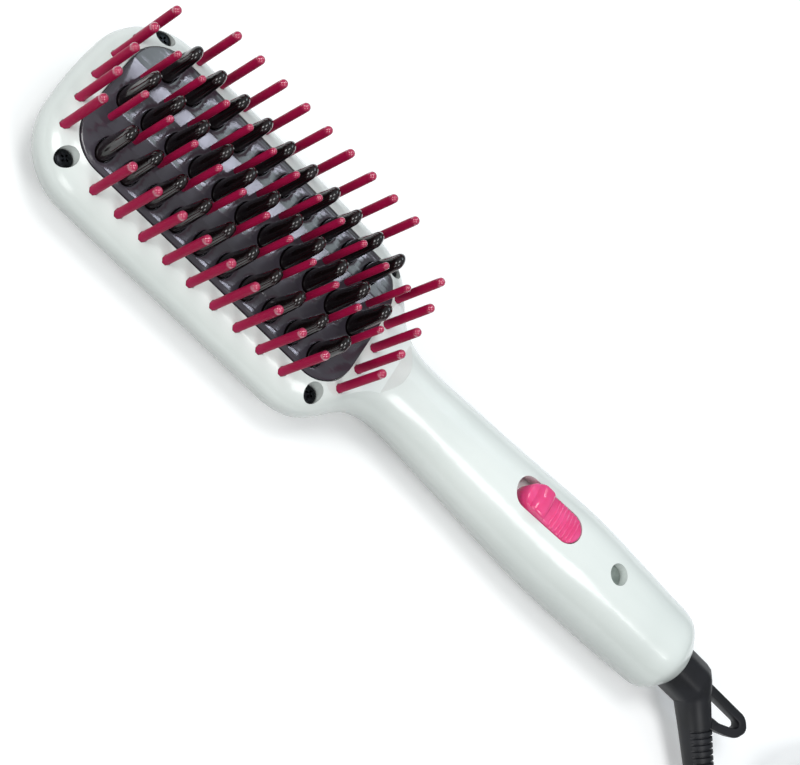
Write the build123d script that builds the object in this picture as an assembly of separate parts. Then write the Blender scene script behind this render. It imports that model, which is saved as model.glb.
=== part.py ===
from build123d import *
from math import asin, cos, degrees, pi, radians, sin, sqrt, tan
import os

# Hair straightening brush, all sizes in millimetres.
# X runs along the brush from the tip of the head to the cord.
# Z points up out of the bristle field, and Z = 0 is what the head's back rests on.
# X = 0 is the middle of the bristle field.

# Housing, head: room from the outer pins to its sides and its tip
SIDE_BORDER = 5.0
TIP_BORDER = 4.6
END_RADIUS = 110.0
TIP_CORNER_RADIUS = 19.2
SHOULDER_FRONT = 12.5
SHOULDER_BACK = 18.5
HEAD_FRONT_RISE = 8.8
HEAD_BACK_DROP = 12.8
EDGE_LAND = 0.1
WALL = 2.2
PARTING_Z = 12.4
# Housing, flare from the head's straight sides to the neck, past the last side pin and the end pins
FLARE_AFTER_PIN = 3.22
FLARE_RADIUS = 17.0
FLARE_ANGLE = 59.4
NECK_RADIUS = 18.2
NECK_ANGLES = (40, 20, 0)
NECK_AFTER_PINS = 16.8
NECK_HALF_WIDTH = 11.4
NECK_HALF_HEIGHT = 9.9
NECK_AXIS_Z = 12.15
# Housing, grip: x, half width, top and bottom
GRIP_STATIONS = (
    (80.0, 11.9, 22.55, 1.85),
    (98.0, 12.85, 23.4, 1.2),
    (116.0, 14.0, 24.45, 0.5),
    (134.0, 14.4, 25.8, 0.2),
    (150.0, 13.85, 25.85, 0.45),
    (160.0, 13.45, 25.8, 1.0),
    (167.0, 13.15, 25.72, 1.5),
)
# Housing, rounded end: x, half width, half height and middle
END_STATIONS = (
    (171.0, 12.9, 11.98, 13.65),
    (173.4, 12.2, 11.4, 13.5),
    (175.4, 10.7, 10.1, 13.3),
    (176.9, 9.2, 9.0, 13.05),
    (178.2, 7.8, 7.8, 12.8),
)
# Low step in the front between the head and the crescent lip, before and after the end pins
STEP_BEFORE_PINS = 1.6
STEP_SLOPE = 7.0
STEP_AFTER_PINS = 8.0
STEP_LIP_RUN = 1.8
STEP_FLOOR_Z = 20.1
STEP_CUT_RISE = 0.3
STEP_ROOF_START = 2.0
STEP_ROOF_END = 4.0
# How near the round shoulders come to the middle of a narrow section
SHOULDER_MIDDLE = 0.5

# Heater cover: its borders past the outer apertures
COVER_X = 0.4
COVER_END_BORDER = 2.55
COVER_SIDE_BORDER = 1.19
COVER_CORNER = 10.4
COVER_CROWN_Z = 21.9
COVER_CROWN_RADIUS = 340.0
COVER_UNDER_Z = 19.36
COVER_GAP = 0.3
LEDGE_WIDTH = 1.3
LEDGE_THICKNESS = 2.0
LEDGE_BACKING = 1.8

# Bristle field
PITCH = 8.0
PIN_RADIUS = 1.2
PIN_TIP_RADIUS = 0.55
PIN_TIP_HEIGHT = 0.9
PIN_TIP_Z = 39.6
PIN_SIDES = 8
HOLE_GAP = 0.15
RIM_PITCH = 7.97
RIM_COUNT = 9
RIM_ROW_BORDER = 3.4
END_ROW_BORDER = 3.2
END_ROW_RADIUS = 68.3
END_ROW_COUNT = 5
INNER_COUNT = 11
TINE_COUNT = 10
TINE_ROW_Y = 14.46
TINE_TIP_Z = 35.5
MIDDLE_COUNT = 11
MIDDLE_TIP_Z = 36.6
TINE_SIDES = 12
TINE_BASE_X = 2.5
TINE_BASE_Y = 4.2
TINE_NECK_X = 1.5
TINE_NECK_Y = 2.4
TINE_TIP_X = 0.6
TINE_TIP_Y = 1.1
TINE_TIP_HEIGHT = 1.9
APERTURE_GAP = 0.35
STRIP_Z = 12.8
STRIP_THICKNESS = 2.0
STRIP_HALF_WIDTH = 1.3
INNER_STRIP_THICKNESS = 0.8
INNER_STRIP_HALF_WIDTH = 1.8

# Heater stack, from the tines down
PLATE_TOP_Z = 18.4
PLATE_THICKNESS = 1.8
PLATE_GAP = 0.2
EAR_REACH = 2.6
EAR_HALF_WIDTH = 6.0
ELEMENT_THICKNESS = 2.2
ELEMENT_LENGTH = 24.0
ELEMENT_WIDTH = 15.0
ELEMENT_PITCH = 27.0
ELEMENT_COUNT = 3
CLAMP_THICKNESS = 1.2
CLAMP_HALF_LENGTH = 41.0
CLAMP_HALF_WIDTH = 17.2
SHEET_THICKNESS = 0.8
STACK_CORNER = 6.0
PLATE_SCREW_X = 32.0
PLATE_SCREW_RADIUS = 0.7
PLATE_SCREW_HEAD = 1.6
PLATE_SCREW_BITE = 1.8
SPACER_RADIUS = 1.5
STACK_POST_X = 20.0
STACK_POST_Y = 10.0
STACK_POST_RADIUS = 2.5
STRIP_POST_LENGTH = 5.0
STRIP_POST_WIDTH = 2.0
STRIP_POST_X = 26.0
STRIP_POST_Y = 11.5
FUSE_X = 10.0
FUSE_RADIUS = 1.7
FUSE_LENGTH = 8.0
SENSOR_X = -12.0
SENSOR_RADIUS = 1.2
LEAD_RADIUS = 0.4
LEAD_LENGTH = 7.0
SEAT_GAP = 0.05

# Head screws
WELL_FROM_COVER_END = 3.8
WELL_FROM_SIDE = 6.6
WELL_RADIUS = 2.6
BOSS_RADIUS = 3.9
BOSS_WEB = 0.8
HEAD_SCREW_RADIUS = 1.25
HEAD_SCREW_HEAD = 2.35
HEAD_SCREW_HEAD_HEIGHT = 1.3
HEAD_SCREW_LENGTH = 5.5
SCREW_GAP = 0.15

# Circuit board in the grip
BOARD_X0 = 98.0
BOARD_X1 = 152.0
BOARD_HALF_WIDTH = 9.0
BOARD_Z = 10.6
BOARD_THICKNESS = 1.6
BOARD_POST_RADIUS = 2.6
BOARD_SCREW_X = (101.2, 148.8)
BOARD_SCREW_RADIUS = 0.9
BOARD_SCREW_HEAD = 1.9
BOARD_SCREW_HEAD_HEIGHT = 1.2
BOARD_SCREW_BITE = 5.0

# Slide switch
SLOT_X0 = 102.2
SLOT_X1 = 125.7
SLOT_HALF_WIDTH = 4.65
KNOB_GAP = 0.2
SWITCH_TRAVEL = 2.2
KNOB_PROUD = 0.9
KNOB_CROWN_RADIUS = 13.0
RIDGE_X = 111.2
RIDGE_WIDTH = 4.8
RIDGE_HEIGHT = 1.4
RIDGE_ROUND = 0.84
RIB_X0 = 115.6
RIB_PITCH = 1.3
RIB_COUNT = 6
RIB_WIDTH = 0.6
RIB_HEIGHT = 0.35
FLANGE_Z = 17.9
FLANGE_THICKNESS = 1.2
FLANGE_BORDER_X = 3.0
FLANGE_BORDER_Y = 1.4
RAIL_WIDTH = 1.2
RAIL_OVERRUN = 1.0
RAIL_GAP = 0.2
SWITCH_BODY_HALF_LENGTH = 10.0
SWITCH_BODY_HALF_WIDTH = 4.0
SWITCH_BODY_HEIGHT = 4.0
SLIDER_HALF_LENGTH = 4.0
SLIDER_HALF_WIDTH = 1.6
SLIDER_DEPTH = 1.8
SLIDER_GAP = 0.15
NUB_HALF = 1.5
NUB_HEIGHT = 1.4
FORK_THICKNESS = 1.2

# Indicator
LAMP_X = 141.5
LAMP_WINDOW_RADIUS = 2.95
LAMP_WINDOW_GAP = 0.1
LAMP_TUBE_RADIUS = 4.2
LAMP_TUBE_Z = 21.4
LAMP_WINDOW_TOP_Z = 23.0
LAMP_RIM_RADIUS = 4.0
LAMP_RIM_THICKNESS = 1.2
LED_RADIUS = 1.5
LED_HEIGHT = 5.2
LED_DOME = 1.2

# Swivel cord fitting, turning about a line along X at this height
SWIVEL_Z = 12.8
COLLAR_RADIUS = 7.1
COLLAR_GAP = 0.2
THRUST_GAP = 0.3
THRUST_X = 170.4
THRUST_THICKNESS = 1.6
THRUST_RADIUS = 8.3
WEB_THICKNESS = 1.8
BARREL_RADIUS = 4.9
BARREL_BORE = 2.9
BARREL_X0 = 156.0
BARREL_GAP = 0.4
RING_X = (159.5, 164.5)
RING_WIDTH = 3.0
RING_RADIUS = 5.5
RING_GAP = 0.1
LEAF_GAP = 0.3
LEAF_THICKNESS = 0.4
LEAF_FOOT_Z = 7.0
LEAF_FOOT_REACH = 2.0
LEAF_REST_BORDER = 3.0
LEAF_TOP_Z = 15.0
ELBOW_X = 192.8
BOOT_RADII = (5.6, 5.0, 4.4, 4.0)
GROOVE_COUNT = 8
GROOVE_PITCH = 2.4
GROOVE_WIDTH = 0.9
GROOVE_DEPTH = 0.6
GROOVE_START = 10.5
LOOP_OUTER = 4.7
LOOP_INNER = 0.55
LOOP_TIP_X = 213.0
LOOP_ROOT_X = 203.4
LOOP_ROOT_DROP = 6.4
LOOP_THICKNESS = 4.0
LOOP_TIP_RADIUS = 1.7
LOOP_HOLE_X0 = 199.4
LOOP_RIM = 2.0
LOOP_CROOK = 1.0

# Cord and its plug
CORD_RADIUS = 2.75
CORD_SIDES = 8
LEAD_POINTS = (
    (215.0, -25.0, 7.5),
    (224.84, -36.08, 5.15),
    (247.83, -48.7, 2.75),
    (262.02, -52.92, 2.75),
)
COIL_RADIUS = 41.0
COIL_STEP = 3.05
COIL_HALF_TURNS_IN = 8
COIL_HALF_TURNS_OUT = 8
COIL_CLIMB_INSET = 1.2
COIL_LAYER = 5.95
COIL_END_STRAIGHT = 5.5
PLUG_SEAT_GAP = 0.3
PLUG_TURN_RADIUS = 14.0
PLUG_WIDTH = 35.3
PLUG_HEIGHT = 13.7
PLUG_LENGTH = 27.0
PLUG_SHOULDER = 9.0
PLUG_RELIEF_LENGTH = 9.0
PLUG_RELIEF_RADIUS = 4.4
PLUG_WAIST_BORDER = 1.0
PLUG_PIN_RADIUS = 2.0
PLUG_PIN_LENGTH = 19.0
PLUG_PIN_SPACING = 18.6

# Wires inside the housing
HEATER_WIRE_RADIUS = 0.8
HEATER_WIRE_POINTS = ((34.0, 5.0, 11.4), (56.0, 5.6, 9.6), (78.0, 4.2, 9.4), (97.7, 4.0, 11.4))
SUPPLY_WIRE_RADIUS = 0.6
SUPPLY_WIRE_DRAW_IN = 1.2

INNER_ROW_Y = TINE_ROW_Y / 2
COVER_HALF_LENGTH = (MIDDLE_COUNT - 1) / 2 * PITCH + TINE_BASE_X + APERTURE_GAP + COVER_END_BORDER
COVER_HALF_WIDTH = TINE_ROW_Y + TINE_BASE_Y + APERTURE_GAP + COVER_SIDE_BORDER
RIM_ROW_Y = COVER_HALF_WIDTH + RIM_ROW_BORDER
END_ROW_X = COVER_HALF_LENGTH + END_ROW_BORDER
HEAD_HALF_WIDTH = RIM_ROW_Y + SIDE_BORDER
HEAD_TIP_X = -END_ROW_X - TIP_BORDER
FLARE_START_X = (RIM_COUNT - 1) / 2 * RIM_PITCH + FLARE_AFTER_PIN
STEP_FLOOR_X = END_ROW_X - STEP_BEFORE_PINS
STEP_START_X = STEP_FLOOR_X - STEP_SLOPE
STEP_LIP_X = END_ROW_X + STEP_AFTER_PINS
NECK_X = END_ROW_X + NECK_AFTER_PINS
WELL_X = COVER_HALF_LENGTH - WELL_FROM_COVER_END
WELL_Y = HEAD_HALF_WIDTH - WELL_FROM_SIDE
HEAD_AXIS_Z = HEAD_BACK_DROP
HEAD_TOP_Z = HEAD_AXIS_Z + HEAD_FRONT_RISE
LEDGE_Z = COVER_UNDER_Z - LEDGE_THICKNESS
ELEMENT_Z = PLATE_TOP_Z - PLATE_THICKNESS - ELEMENT_THICKNESS
CLAMP_Z = ELEMENT_Z - CLAMP_THICKNESS
SHEET_Z = CLAMP_Z - SHEET_THICKNESS
STRIP_TOP_Z = STRIP_Z + STRIP_THICKNESS
BOARD_TOP_Z = BOARD_Z + BOARD_THICKNESS
END_WALL_X = THRUST_X + THRUST_THICKNESS + THRUST_GAP
COLLAR_X = THRUST_X + THRUST_THICKNESS
WEB_X = THRUST_X - THRUST_GAP - WEB_THICKNESS
SWITCH_TOP_Z = BOARD_TOP_Z + SWITCH_BODY_HEIGHT
KNOB_LENGTH = SLOT_X1 - SLOT_X0 - SWITCH_TRAVEL - 2 * KNOB_GAP
KNOB_X = SLOT_X1 - KNOB_GAP - KNOB_LENGTH / 2
KNOB_HALF_WIDTH = SLOT_HALF_WIDTH - KNOB_GAP
FLANGE_TOP_Z = FLANGE_Z + FLANGE_THICKNESS
RAIL_Z = FLANGE_TOP_Z + RAIL_GAP
BIG = 400.0


def upright(x, y, bottom, top, radius):
    """A round post between two heights."""
    return Pos(x, y, bottom) * extrude(Circle(radius), top - bottom)


def along_x(x0, x1, radius, z=SWIVEL_Z):
    """A round bar along X on the swivel's axis."""
    return extrude(Plane(origin=(x0, 0, z), z_dir=(1, 0, 0)) * Circle(radius), x1 - x0)


def slab(x0, x1, y0, y1, z0, z1):
    """A plain block between its limits."""
    return Pos((x0 + x1) / 2, (y0 + y1) / 2, (z0 + z1) / 2) * Box(x1 - x0, y1 - y0, z1 - z0)


def rounded_plate(x, half_length, half_width, corner, bottom, top):
    """A flat plate with round corners."""
    return Pos(x, 0, bottom) * extrude(RectangleRounded(2 * half_length, 2 * half_width, corner), top - bottom)


def oval(x, y, z, half_x, half_y, sides):
    """A level face with its corners on an oval."""
    turns = [(i + 0.5) * 2 * pi / sides for i in range(sides)]
    points = [(x + half_x * cos(t), y + half_y * sin(t), z) for t in turns]
    return make_face(Polyline(*points, close=True))


def peg(x, y, sides, *levels):
    """A few-sided tapering peg through levels of height and two half widths."""
    return loft([oval(x, y, z, a, b, sides) for z, a, b in levels], ruled=True)


def clear_hole(x, y, half_x, half_y, sides):
    """The opening round a peg, through the front of the housing and the cover."""
    return extrude(oval(x, y, STRIP_TOP_Z, half_x, half_y, sides), HEAD_TOP_Z - STRIP_TOP_Z + 2)


def row(count, pitch):
    """Evenly spaced places about zero."""
    return [(i - (count - 1) / 2) * pitch for i in range(count)]


def end_row_x(y):
    """How far out the arc of end pins is at y."""
    return END_ROW_X - END_ROW_RADIUS + sqrt(END_ROW_RADIUS ** 2 - y ** 2)


def rim_places():
    """The pins round the cover: two side rows and an arc of pins at each end."""
    sides = [(x, side * RIM_ROW_Y) for side in (-1, 1) for x in row(RIM_COUNT, RIM_PITCH)]
    ends = [(end * end_row_x(y), y) for end in (-1, 1) for y in row(END_ROW_COUNT, PITCH)]
    return sides + ends


def inner_places():
    """The two rows of pins that stand between the tines."""
    return [(x, side * INNER_ROW_Y) for side in (-1, 1) for x in row(INNER_COUNT, PITCH)]


def well_places():
    """The four head screws."""
    return [(i * WELL_X, j * WELL_Y) for i in (-1, 1) for j in (-1, 1)]


def plate_screw_places():
    """The four screws that draw the heater stack to the cover."""
    return [(i * PLATE_SCREW_X, j * TINE_ROW_Y) for i in (-1, 1) for j in (-1, 1)]


def head_outline(inset):
    """Plan of the head, a long arc at the tip with two round corners."""
    corner = TIP_CORNER_RADIUS - inset
    corner_y = HEAD_HALF_WIDTH - TIP_CORNER_RADIUS
    end_x = HEAD_TIP_X + END_RADIUS
    corner_x = end_x - sqrt((END_RADIUS - TIP_CORNER_RADIUS) ** 2 - corner_y ** 2)
    half = degrees(asin(corner_y / (END_RADIUS - TIP_CORNER_RADIUS)))
    side = corner_y + corner
    edges = [
        CenterArc((end_x, 0), END_RADIUS - inset, 180 - half, 2 * half),
        CenterArc((corner_x, -corner_y), corner, 180 + half, 90 - half),
        Line((corner_x, -side), (FLARE_START_X, -side)),
        Line((FLARE_START_X, -side), (FLARE_START_X, side)),
        Line((FLARE_START_X, side), (corner_x, side)),
        CenterArc((corner_x, corner_y), corner, 90, 90 - half),
    ]
    return make_face(Wire(edges))


def head_half(inset, shoulder, rise):
    """Half of the head above its widest plane: a round shoulder all round, pressed to its height."""
    block = extrude(head_outline(inset), shoulder + EDGE_LAND)
    top = block.faces().sort_by(Axis.Z)[-1]
    rim = [edge for edge in top.edges() if abs(edge.center().X - FLARE_START_X) > 0.01]
    return scale(fillet(rim, shoulder), by=(1, 1, rise / (shoulder + EDGE_LAND)))


def section(x, half_width, up, down, axis_z, inset):
    """Cross-section of the housing: flat front and back, oval shoulders and a narrow land at each side."""
    half_width = half_width - inset
    up = up - inset
    down = down - inset
    front = min(SHOULDER_FRONT - inset, half_width - SHOULDER_MIDDLE)
    back = min(SHOULDER_BACK - inset, half_width - SHOULDER_MIDDLE)
    flat_front = half_width - front
    flat_back = half_width - back
    land_up = EDGE_LAND * up / (front + EDGE_LAND)
    land_down = EDGE_LAND * down / (back + EDGE_LAND)
    edges = [
        Line((flat_front, up), (-flat_front, up)),
        EllipticalCenterArc((-flat_front, land_up), front, up - land_up, start_angle=90, arc_size=90),
        Line((-half_width, land_up), (-half_width, -land_down)),
        EllipticalCenterArc((-flat_back, -land_down), back, down - land_down, start_angle=180, arc_size=90),
        Line((-flat_back, -down), (flat_back, -down)),
        EllipticalCenterArc((flat_back, -land_down), back, down - land_down, start_angle=270, arc_size=90),
        Line((half_width, -land_down), (half_width, land_up)),
        EllipticalCenterArc((flat_front, land_up), front, up - land_up, start_angle=0, arc_size=90),
    ]
    return Plane(origin=(x, 0, axis_z), x_dir=(0, 1, 0), z_dir=(1, 0, 0)) * make_face(edges)


def flare_stations():
    """x and half width down the flare: an outward arc, then an inward arc to the neck."""
    stations = []
    for share in (0, 1 / 3, 2 / 3, 1):
        angle = radians(FLARE_ANGLE * share)
        x = FLARE_START_X + FLARE_RADIUS * sin(angle)
        stations.append((x, HEAD_HALF_WIDTH - FLARE_RADIUS * (1 - cos(angle))))
    for degree in NECK_ANGLES:
        angle = radians(degree)
        x = NECK_X - NECK_RADIUS * sin(angle)
        stations.append((x, NECK_HALF_WIDTH + NECK_RADIUS * (1 - cos(angle))))
    return stations


def housing_stations():
    """x, half width, height above and below the widest line, and its height."""
    stations = []
    for x, half_width in flare_stations():
        share = (x - FLARE_START_X) / (NECK_X - FLARE_START_X)
        blend = share * share * (3 - 2 * share)
        up = HEAD_FRONT_RISE + (NECK_HALF_HEIGHT - HEAD_FRONT_RISE) * blend
        down = HEAD_BACK_DROP + (NECK_HALF_HEIGHT - HEAD_BACK_DROP) * blend
        stations.append((x, half_width, up, down, HEAD_AXIS_Z + (NECK_AXIS_Z - HEAD_AXIS_Z) * blend))
    for x, half_width, top, bottom in GRIP_STATIONS:
        half = (top - bottom) / 2
        stations.append((x, half_width, half, half, bottom + half))
    for x, half_width, half_height, axis_z in END_STATIONS:
        stations.append((x, half_width, half_height, half_height, axis_z))
    return stations


def grip_top(x):
    """Height of the grip's front at x, between its stations."""
    for (x0, _, z0, _), (x1, _, z1, _) in zip(GRIP_STATIONS, GRIP_STATIONS[1:]):
        if x <= x1:
            return z0 + (z1 - z0) * (x - x0) / (x1 - x0)
    return GRIP_STATIONS[-1][2]


def housing(inset, stations):
    """The whole housing's outer form, or the space inside it when inset by its wall."""
    grip = loft([section(*station, inset) for station in stations])
    front = Pos(0, 0, HEAD_AXIS_Z) * head_half(inset, SHOULDER_FRONT - inset, HEAD_FRONT_RISE - inset)
    back = head_half(inset, SHOULDER_BACK - inset, HEAD_BACK_DROP - inset)
    back = Pos(0, 0, HEAD_AXIS_Z) * mirror(back, Plane.XY)
    return front + back + grip


def low_step():
    """What the low step before the crescent lip takes out of the front."""
    rise = HEAD_TOP_Z + STEP_CUT_RISE
    run = (rise - STEP_FLOOR_Z) * STEP_LIP_RUN
    profile = Plane.XZ * make_face(Polyline(
        (STEP_START_X, rise), (STEP_FLOOR_X, STEP_FLOOR_Z), (STEP_LIP_X, STEP_FLOOR_Z),
        (STEP_LIP_X + run, rise), (STEP_LIP_X + run, BIG), (STEP_START_X, BIG), close=True))
    return extrude(profile, HEAD_HALF_WIDTH, both=True)


def cavity():
    """The space inside the housing, lower under the step, ending at the swivel's thrust wall."""
    space = housing(WALL, housing_stations()[:-3])
    roof_x0 = STEP_START_X + STEP_ROOF_START
    roof = slab(roof_x0, STEP_LIP_X + STEP_ROOF_END, -BIG, BIG, STEP_FLOOR_Z - WALL, BIG)
    end = slab(END_WALL_X, BIG, -BIG, BIG, -BIG, BIG)
    return space - roof - end


def cover_outline(grow, bottom, top):
    """A plate of the cover's outline, grown or shrunk all round."""
    half_length = COVER_HALF_LENGTH + grow
    return rounded_plate(COVER_X, half_length, COVER_HALF_WIDTH + grow, COVER_CORNER + grow, bottom, top)


def swivel_web(z0, z1):
    """The inner wall that takes the swivel's pull."""
    return slab(WEB_X, WEB_X + WEB_THICKNESS, -BIG, BIG, z0, z1)


def swivel_bore():
    """Round way through the end wall and the inner wall for the swivel."""
    wide = along_x(END_WALL_X - THRUST_GAP, BIG, COLLAR_RADIUS + COLLAR_GAP)
    return wide + along_x(WEB_X - THRUST_GAP, THRUST_X, BARREL_RADIUS + BARREL_GAP)


def front_shell(outer, shell):
    """Front half: ledge for the cover, pin holes, screw wells, switch slot and lamp tube."""
    front = shell & slab(-BIG, BIG, -BIG, BIG, PARTING_Z, BIG)
    extra = cover_outline(LEDGE_BACKING, LEDGE_Z, COVER_UNDER_Z)
    extra += [upright(x, y, PARTING_Z, HEAD_TOP_Z, BOSS_RADIUS) for x, y in well_places()]
    for side in (-1, 1):
        inner = side * (SLOT_HALF_WIDTH + KNOB_GAP)
        y0, y1 = sorted((inner, inner + side * RAIL_WIDTH))
        extra += slab(SLOT_X0 - RAIL_OVERRUN, SLOT_X1 + RAIL_OVERRUN, y0, y1, RAIL_Z, BIG)
    extra += upright(LAMP_X, 0, LAMP_TUBE_Z, BIG, LAMP_TUBE_RADIUS)
    extra += swivel_web(PARTING_Z, BIG)
    front = front + (extra & outer)
    cuts = [low_step(), cover_outline(COVER_GAP, COVER_UNDER_Z, BIG), cover_outline(-LEDGE_WIDTH, 0, BIG)]
    reach = PIN_RADIUS + HOLE_GAP
    cuts += [clear_hole(x, y, reach, reach, PIN_SIDES) for x, y in rim_places()]
    cuts += [upright(x, y, PARTING_Z + BOSS_WEB, BIG, WELL_RADIUS) for x, y in well_places()]
    cuts += [upright(x, y, 0, BIG, HEAD_SCREW_RADIUS + SCREW_GAP) for x, y in well_places()]
    slot = SlotOverall(SLOT_X1 - SLOT_X0, 2 * SLOT_HALF_WIDTH)
    cuts.append(Pos((SLOT_X0 + SLOT_X1) / 2, 0, FLANGE_Z) * extrude(slot, BIG))
    cuts.append(upright(LAMP_X, 0, PARTING_Z, BIG, LAMP_WINDOW_RADIUS + LAMP_WINDOW_GAP))
    cuts.append(swivel_bore())
    return front - cuts


def back_shell(outer, shell):
    """Back half: screw bosses, posts for the strips, heater stack and board, and the leaf rests."""
    back = shell & slab(-BIG, BIG, -BIG, BIG, -BIG, PARTING_Z)
    extra = [upright(x, y, 0, PARTING_Z, BOSS_RADIUS) for x, y in well_places()]
    long = STRIP_POST_LENGTH / 2
    wide = STRIP_POST_WIDTH / 2
    for side in (-1, 1):
        y = side * RIM_ROW_Y
        for x in (-STRIP_POST_X, 0, STRIP_POST_X):
            extra.append(slab(x - long, x + long, y - wide, y + wide, 0, STRIP_Z))
        for y in (-STRIP_POST_Y, STRIP_POST_Y):
            x = side * end_row_x(y)
            extra.append(slab(x - wide, x + wide, y - long, y + long, 0, STRIP_Z))
        for y in (-STACK_POST_Y, STACK_POST_Y):
            extra.append(upright(side * STACK_POST_X, y, 0, SHEET_Z, STACK_POST_RADIUS))
    extra += [upright(x, 0, 0, BOARD_Z, BOARD_POST_RADIUS) for x in BOARD_SCREW_X]
    for x, side in zip(RING_X, (1, -1)):
        y0 = RING_RADIUS + LEAF_GAP
        y1 = y0 + LEAF_FOOT_REACH + LEAF_REST_BORDER
        rest = slab(x - RING_WIDTH / 2, x + RING_WIDTH / 2, y0, y1, 0, LEAF_FOOT_Z)
        extra.append(rest if side > 0 else mirror(rest, Plane.XZ))
    extra.append(swivel_web(0, PARTING_Z))
    back = back + [piece & outer for piece in extra]
    cuts = [upright(x, y, PARTING_Z - HEAD_SCREW_LENGTH, BIG, HEAD_SCREW_RADIUS + SCREW_GAP)
            for x, y in well_places()]
    cuts += [upright(x, 0, BOARD_Z - BOARD_SCREW_BITE, BIG, BOARD_SCREW_RADIUS + SCREW_GAP)
             for x in BOARD_SCREW_X]
    cuts.append(swivel_bore())
    for cut in cuts:
        back = back - cut
    return back


def pierced(plate, places, radius):
    """A plate with a round hole at each place."""
    return plate - [upright(x, y, -BIG, BIG, radius) for x, y in places]


def heater_cover():
    """Slightly crowned cover: an oval opening round each tine, a hole round each inner pin."""
    cover = cover_outline(0, COVER_UNDER_Z, COVER_CROWN_Z)
    crown = Plane(origin=(-BIG, 0, COVER_CROWN_Z - COVER_CROWN_RADIUS), z_dir=(1, 0, 0))
    cover = cover & extrude(crown * Circle(COVER_CROWN_RADIUS), 2 * BIG)
    cover += [upright(x, y, PLATE_TOP_Z, COVER_UNDER_Z, SPACER_RADIUS) for x, y in plate_screw_places()]
    reach = PIN_RADIUS + HOLE_GAP
    cuts = [clear_hole(x, y, reach, reach, PIN_SIDES) for x, y in inner_places()]
    half_x = TINE_BASE_X + APERTURE_GAP
    half_y = TINE_BASE_Y + APERTURE_GAP
    for y, count in ((-TINE_ROW_Y, TINE_COUNT), (0, MIDDLE_COUNT), (TINE_ROW_Y, TINE_COUNT)):
        cuts += [clear_hole(x, y, half_x, half_y, TINE_SIDES) for x in row(count, PITCH)]
    screw_top = PLATE_TOP_Z + PLATE_SCREW_BITE
    cuts += [upright(x, y, 0, screw_top, PLATE_SCREW_RADIUS + SCREW_GAP / 2) for x, y in plate_screw_places()]
    return cover - cuts


def tines(y, count, tip_z):
    """One row of oval tapering tines standing on the heater plate."""
    levels = (
        (PLATE_TOP_Z, TINE_BASE_X, TINE_BASE_Y),
        (tip_z - TINE_TIP_HEIGHT, TINE_NECK_X, TINE_NECK_Y),
        (tip_z - TINE_TIP_HEIGHT / 4, (TINE_NECK_X + TINE_TIP_X) / 2, (TINE_NECK_Y + TINE_TIP_Y) / 2),
        (tip_z, TINE_TIP_X, TINE_TIP_Y),
    )
    return Compound([peg(x, y, TINE_SIDES, *levels) for x in row(count, PITCH)])


def pins(places, foot_z):
    """Straight pins with blunt tips."""
    shoulder = (PIN_TIP_Z - PIN_TIP_HEIGHT, PIN_RADIUS, PIN_RADIUS)
    tip = (PIN_TIP_Z, PIN_TIP_RADIUS, PIN_TIP_RADIUS)
    return Compound([peg(x, y, PIN_SIDES, (foot_z, PIN_RADIUS, PIN_RADIUS), shoulder, tip) for x, y in places])


def pin_strips():
    """Strips that the rim pins stand on: a straight one at each side, an arc at each end."""
    half_length = (RIM_COUNT - 1) / 2 * RIM_PITCH + STRIP_HALF_WIDTH
    strips = []
    for side in (-1, 1):
        y = side * RIM_ROW_Y
        strips.append(slab(-half_length, half_length, y - STRIP_HALF_WIDTH, y + STRIP_HALF_WIDTH,
                           STRIP_Z, STRIP_TOP_Z))
        outline = Circle(END_ROW_RADIUS + STRIP_HALF_WIDTH) - Circle(END_ROW_RADIUS - STRIP_HALF_WIDTH)
        arc = Pos(side * (END_ROW_X - END_ROW_RADIUS), 0, STRIP_Z) * extrude(outline, STRIP_THICKNESS)
        half_y = (END_ROW_COUNT - 1) / 2 * PITCH + STRIP_HALF_WIDTH
        near = min(0, side * BIG)
        strips.append(arc & slab(near, near + BIG, -half_y, half_y, STRIP_Z, STRIP_TOP_Z))
    return Compound(strips)


def inner_pins():
    """Two rows of pins, each on its own thin strip between the cover and the heater plate."""
    half_length = (INNER_COUNT - 1) / 2 * PITCH + INNER_STRIP_HALF_WIDTH
    bottom = COVER_UNDER_Z - INNER_STRIP_THICKNESS
    rows = []
    for side in (-1, 1):
        y = side * INNER_ROW_Y
        strip = slab(-half_length, half_length, y - INNER_STRIP_HALF_WIDTH, y + INNER_STRIP_HALF_WIDTH,
                     bottom, COVER_UNDER_Z)
        places = [place for place in inner_places() if place[1] * side > 0]
        rows.append(strip + list(pins(places, bottom).solids()))
    return Compound(rows)


def heater_plate():
    """Metal plate under the tines, with an ear at each end that hooks under the ledge."""
    shrink = LEDGE_WIDTH + PLATE_GAP
    plate = cover_outline(-shrink, PLATE_TOP_Z - PLATE_THICKNESS, PLATE_TOP_Z)
    reach = COVER_HALF_LENGTH - shrink + EAR_REACH
    plate += slab(COVER_X - reach, COVER_X + reach, -EAR_HALF_WIDTH, EAR_HALF_WIDTH,
                  PLATE_TOP_Z - PLATE_THICKNESS, LEDGE_Z)
    return pierced(plate, plate_screw_places(), PLATE_SCREW_RADIUS + SCREW_GAP)


def heating_elements():
    """Ceramic elements clamped under the heater plate."""
    half_x = ELEMENT_LENGTH / 2
    half_y = ELEMENT_WIDTH / 2
    return Compound([slab(x - half_x, x + half_x, -half_y, half_y, ELEMENT_Z, ELEMENT_Z + ELEMENT_THICKNESS)
                     for x in row(ELEMENT_COUNT, ELEMENT_PITCH)])


def clamp_plate():
    """Metal plate that presses the elements up."""
    plate = rounded_plate(0, CLAMP_HALF_LENGTH, CLAMP_HALF_WIDTH, STACK_CORNER, CLAMP_Z, ELEMENT_Z)
    return pierced(plate, plate_screw_places(), PLATE_SCREW_RADIUS + SCREW_GAP)


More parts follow.
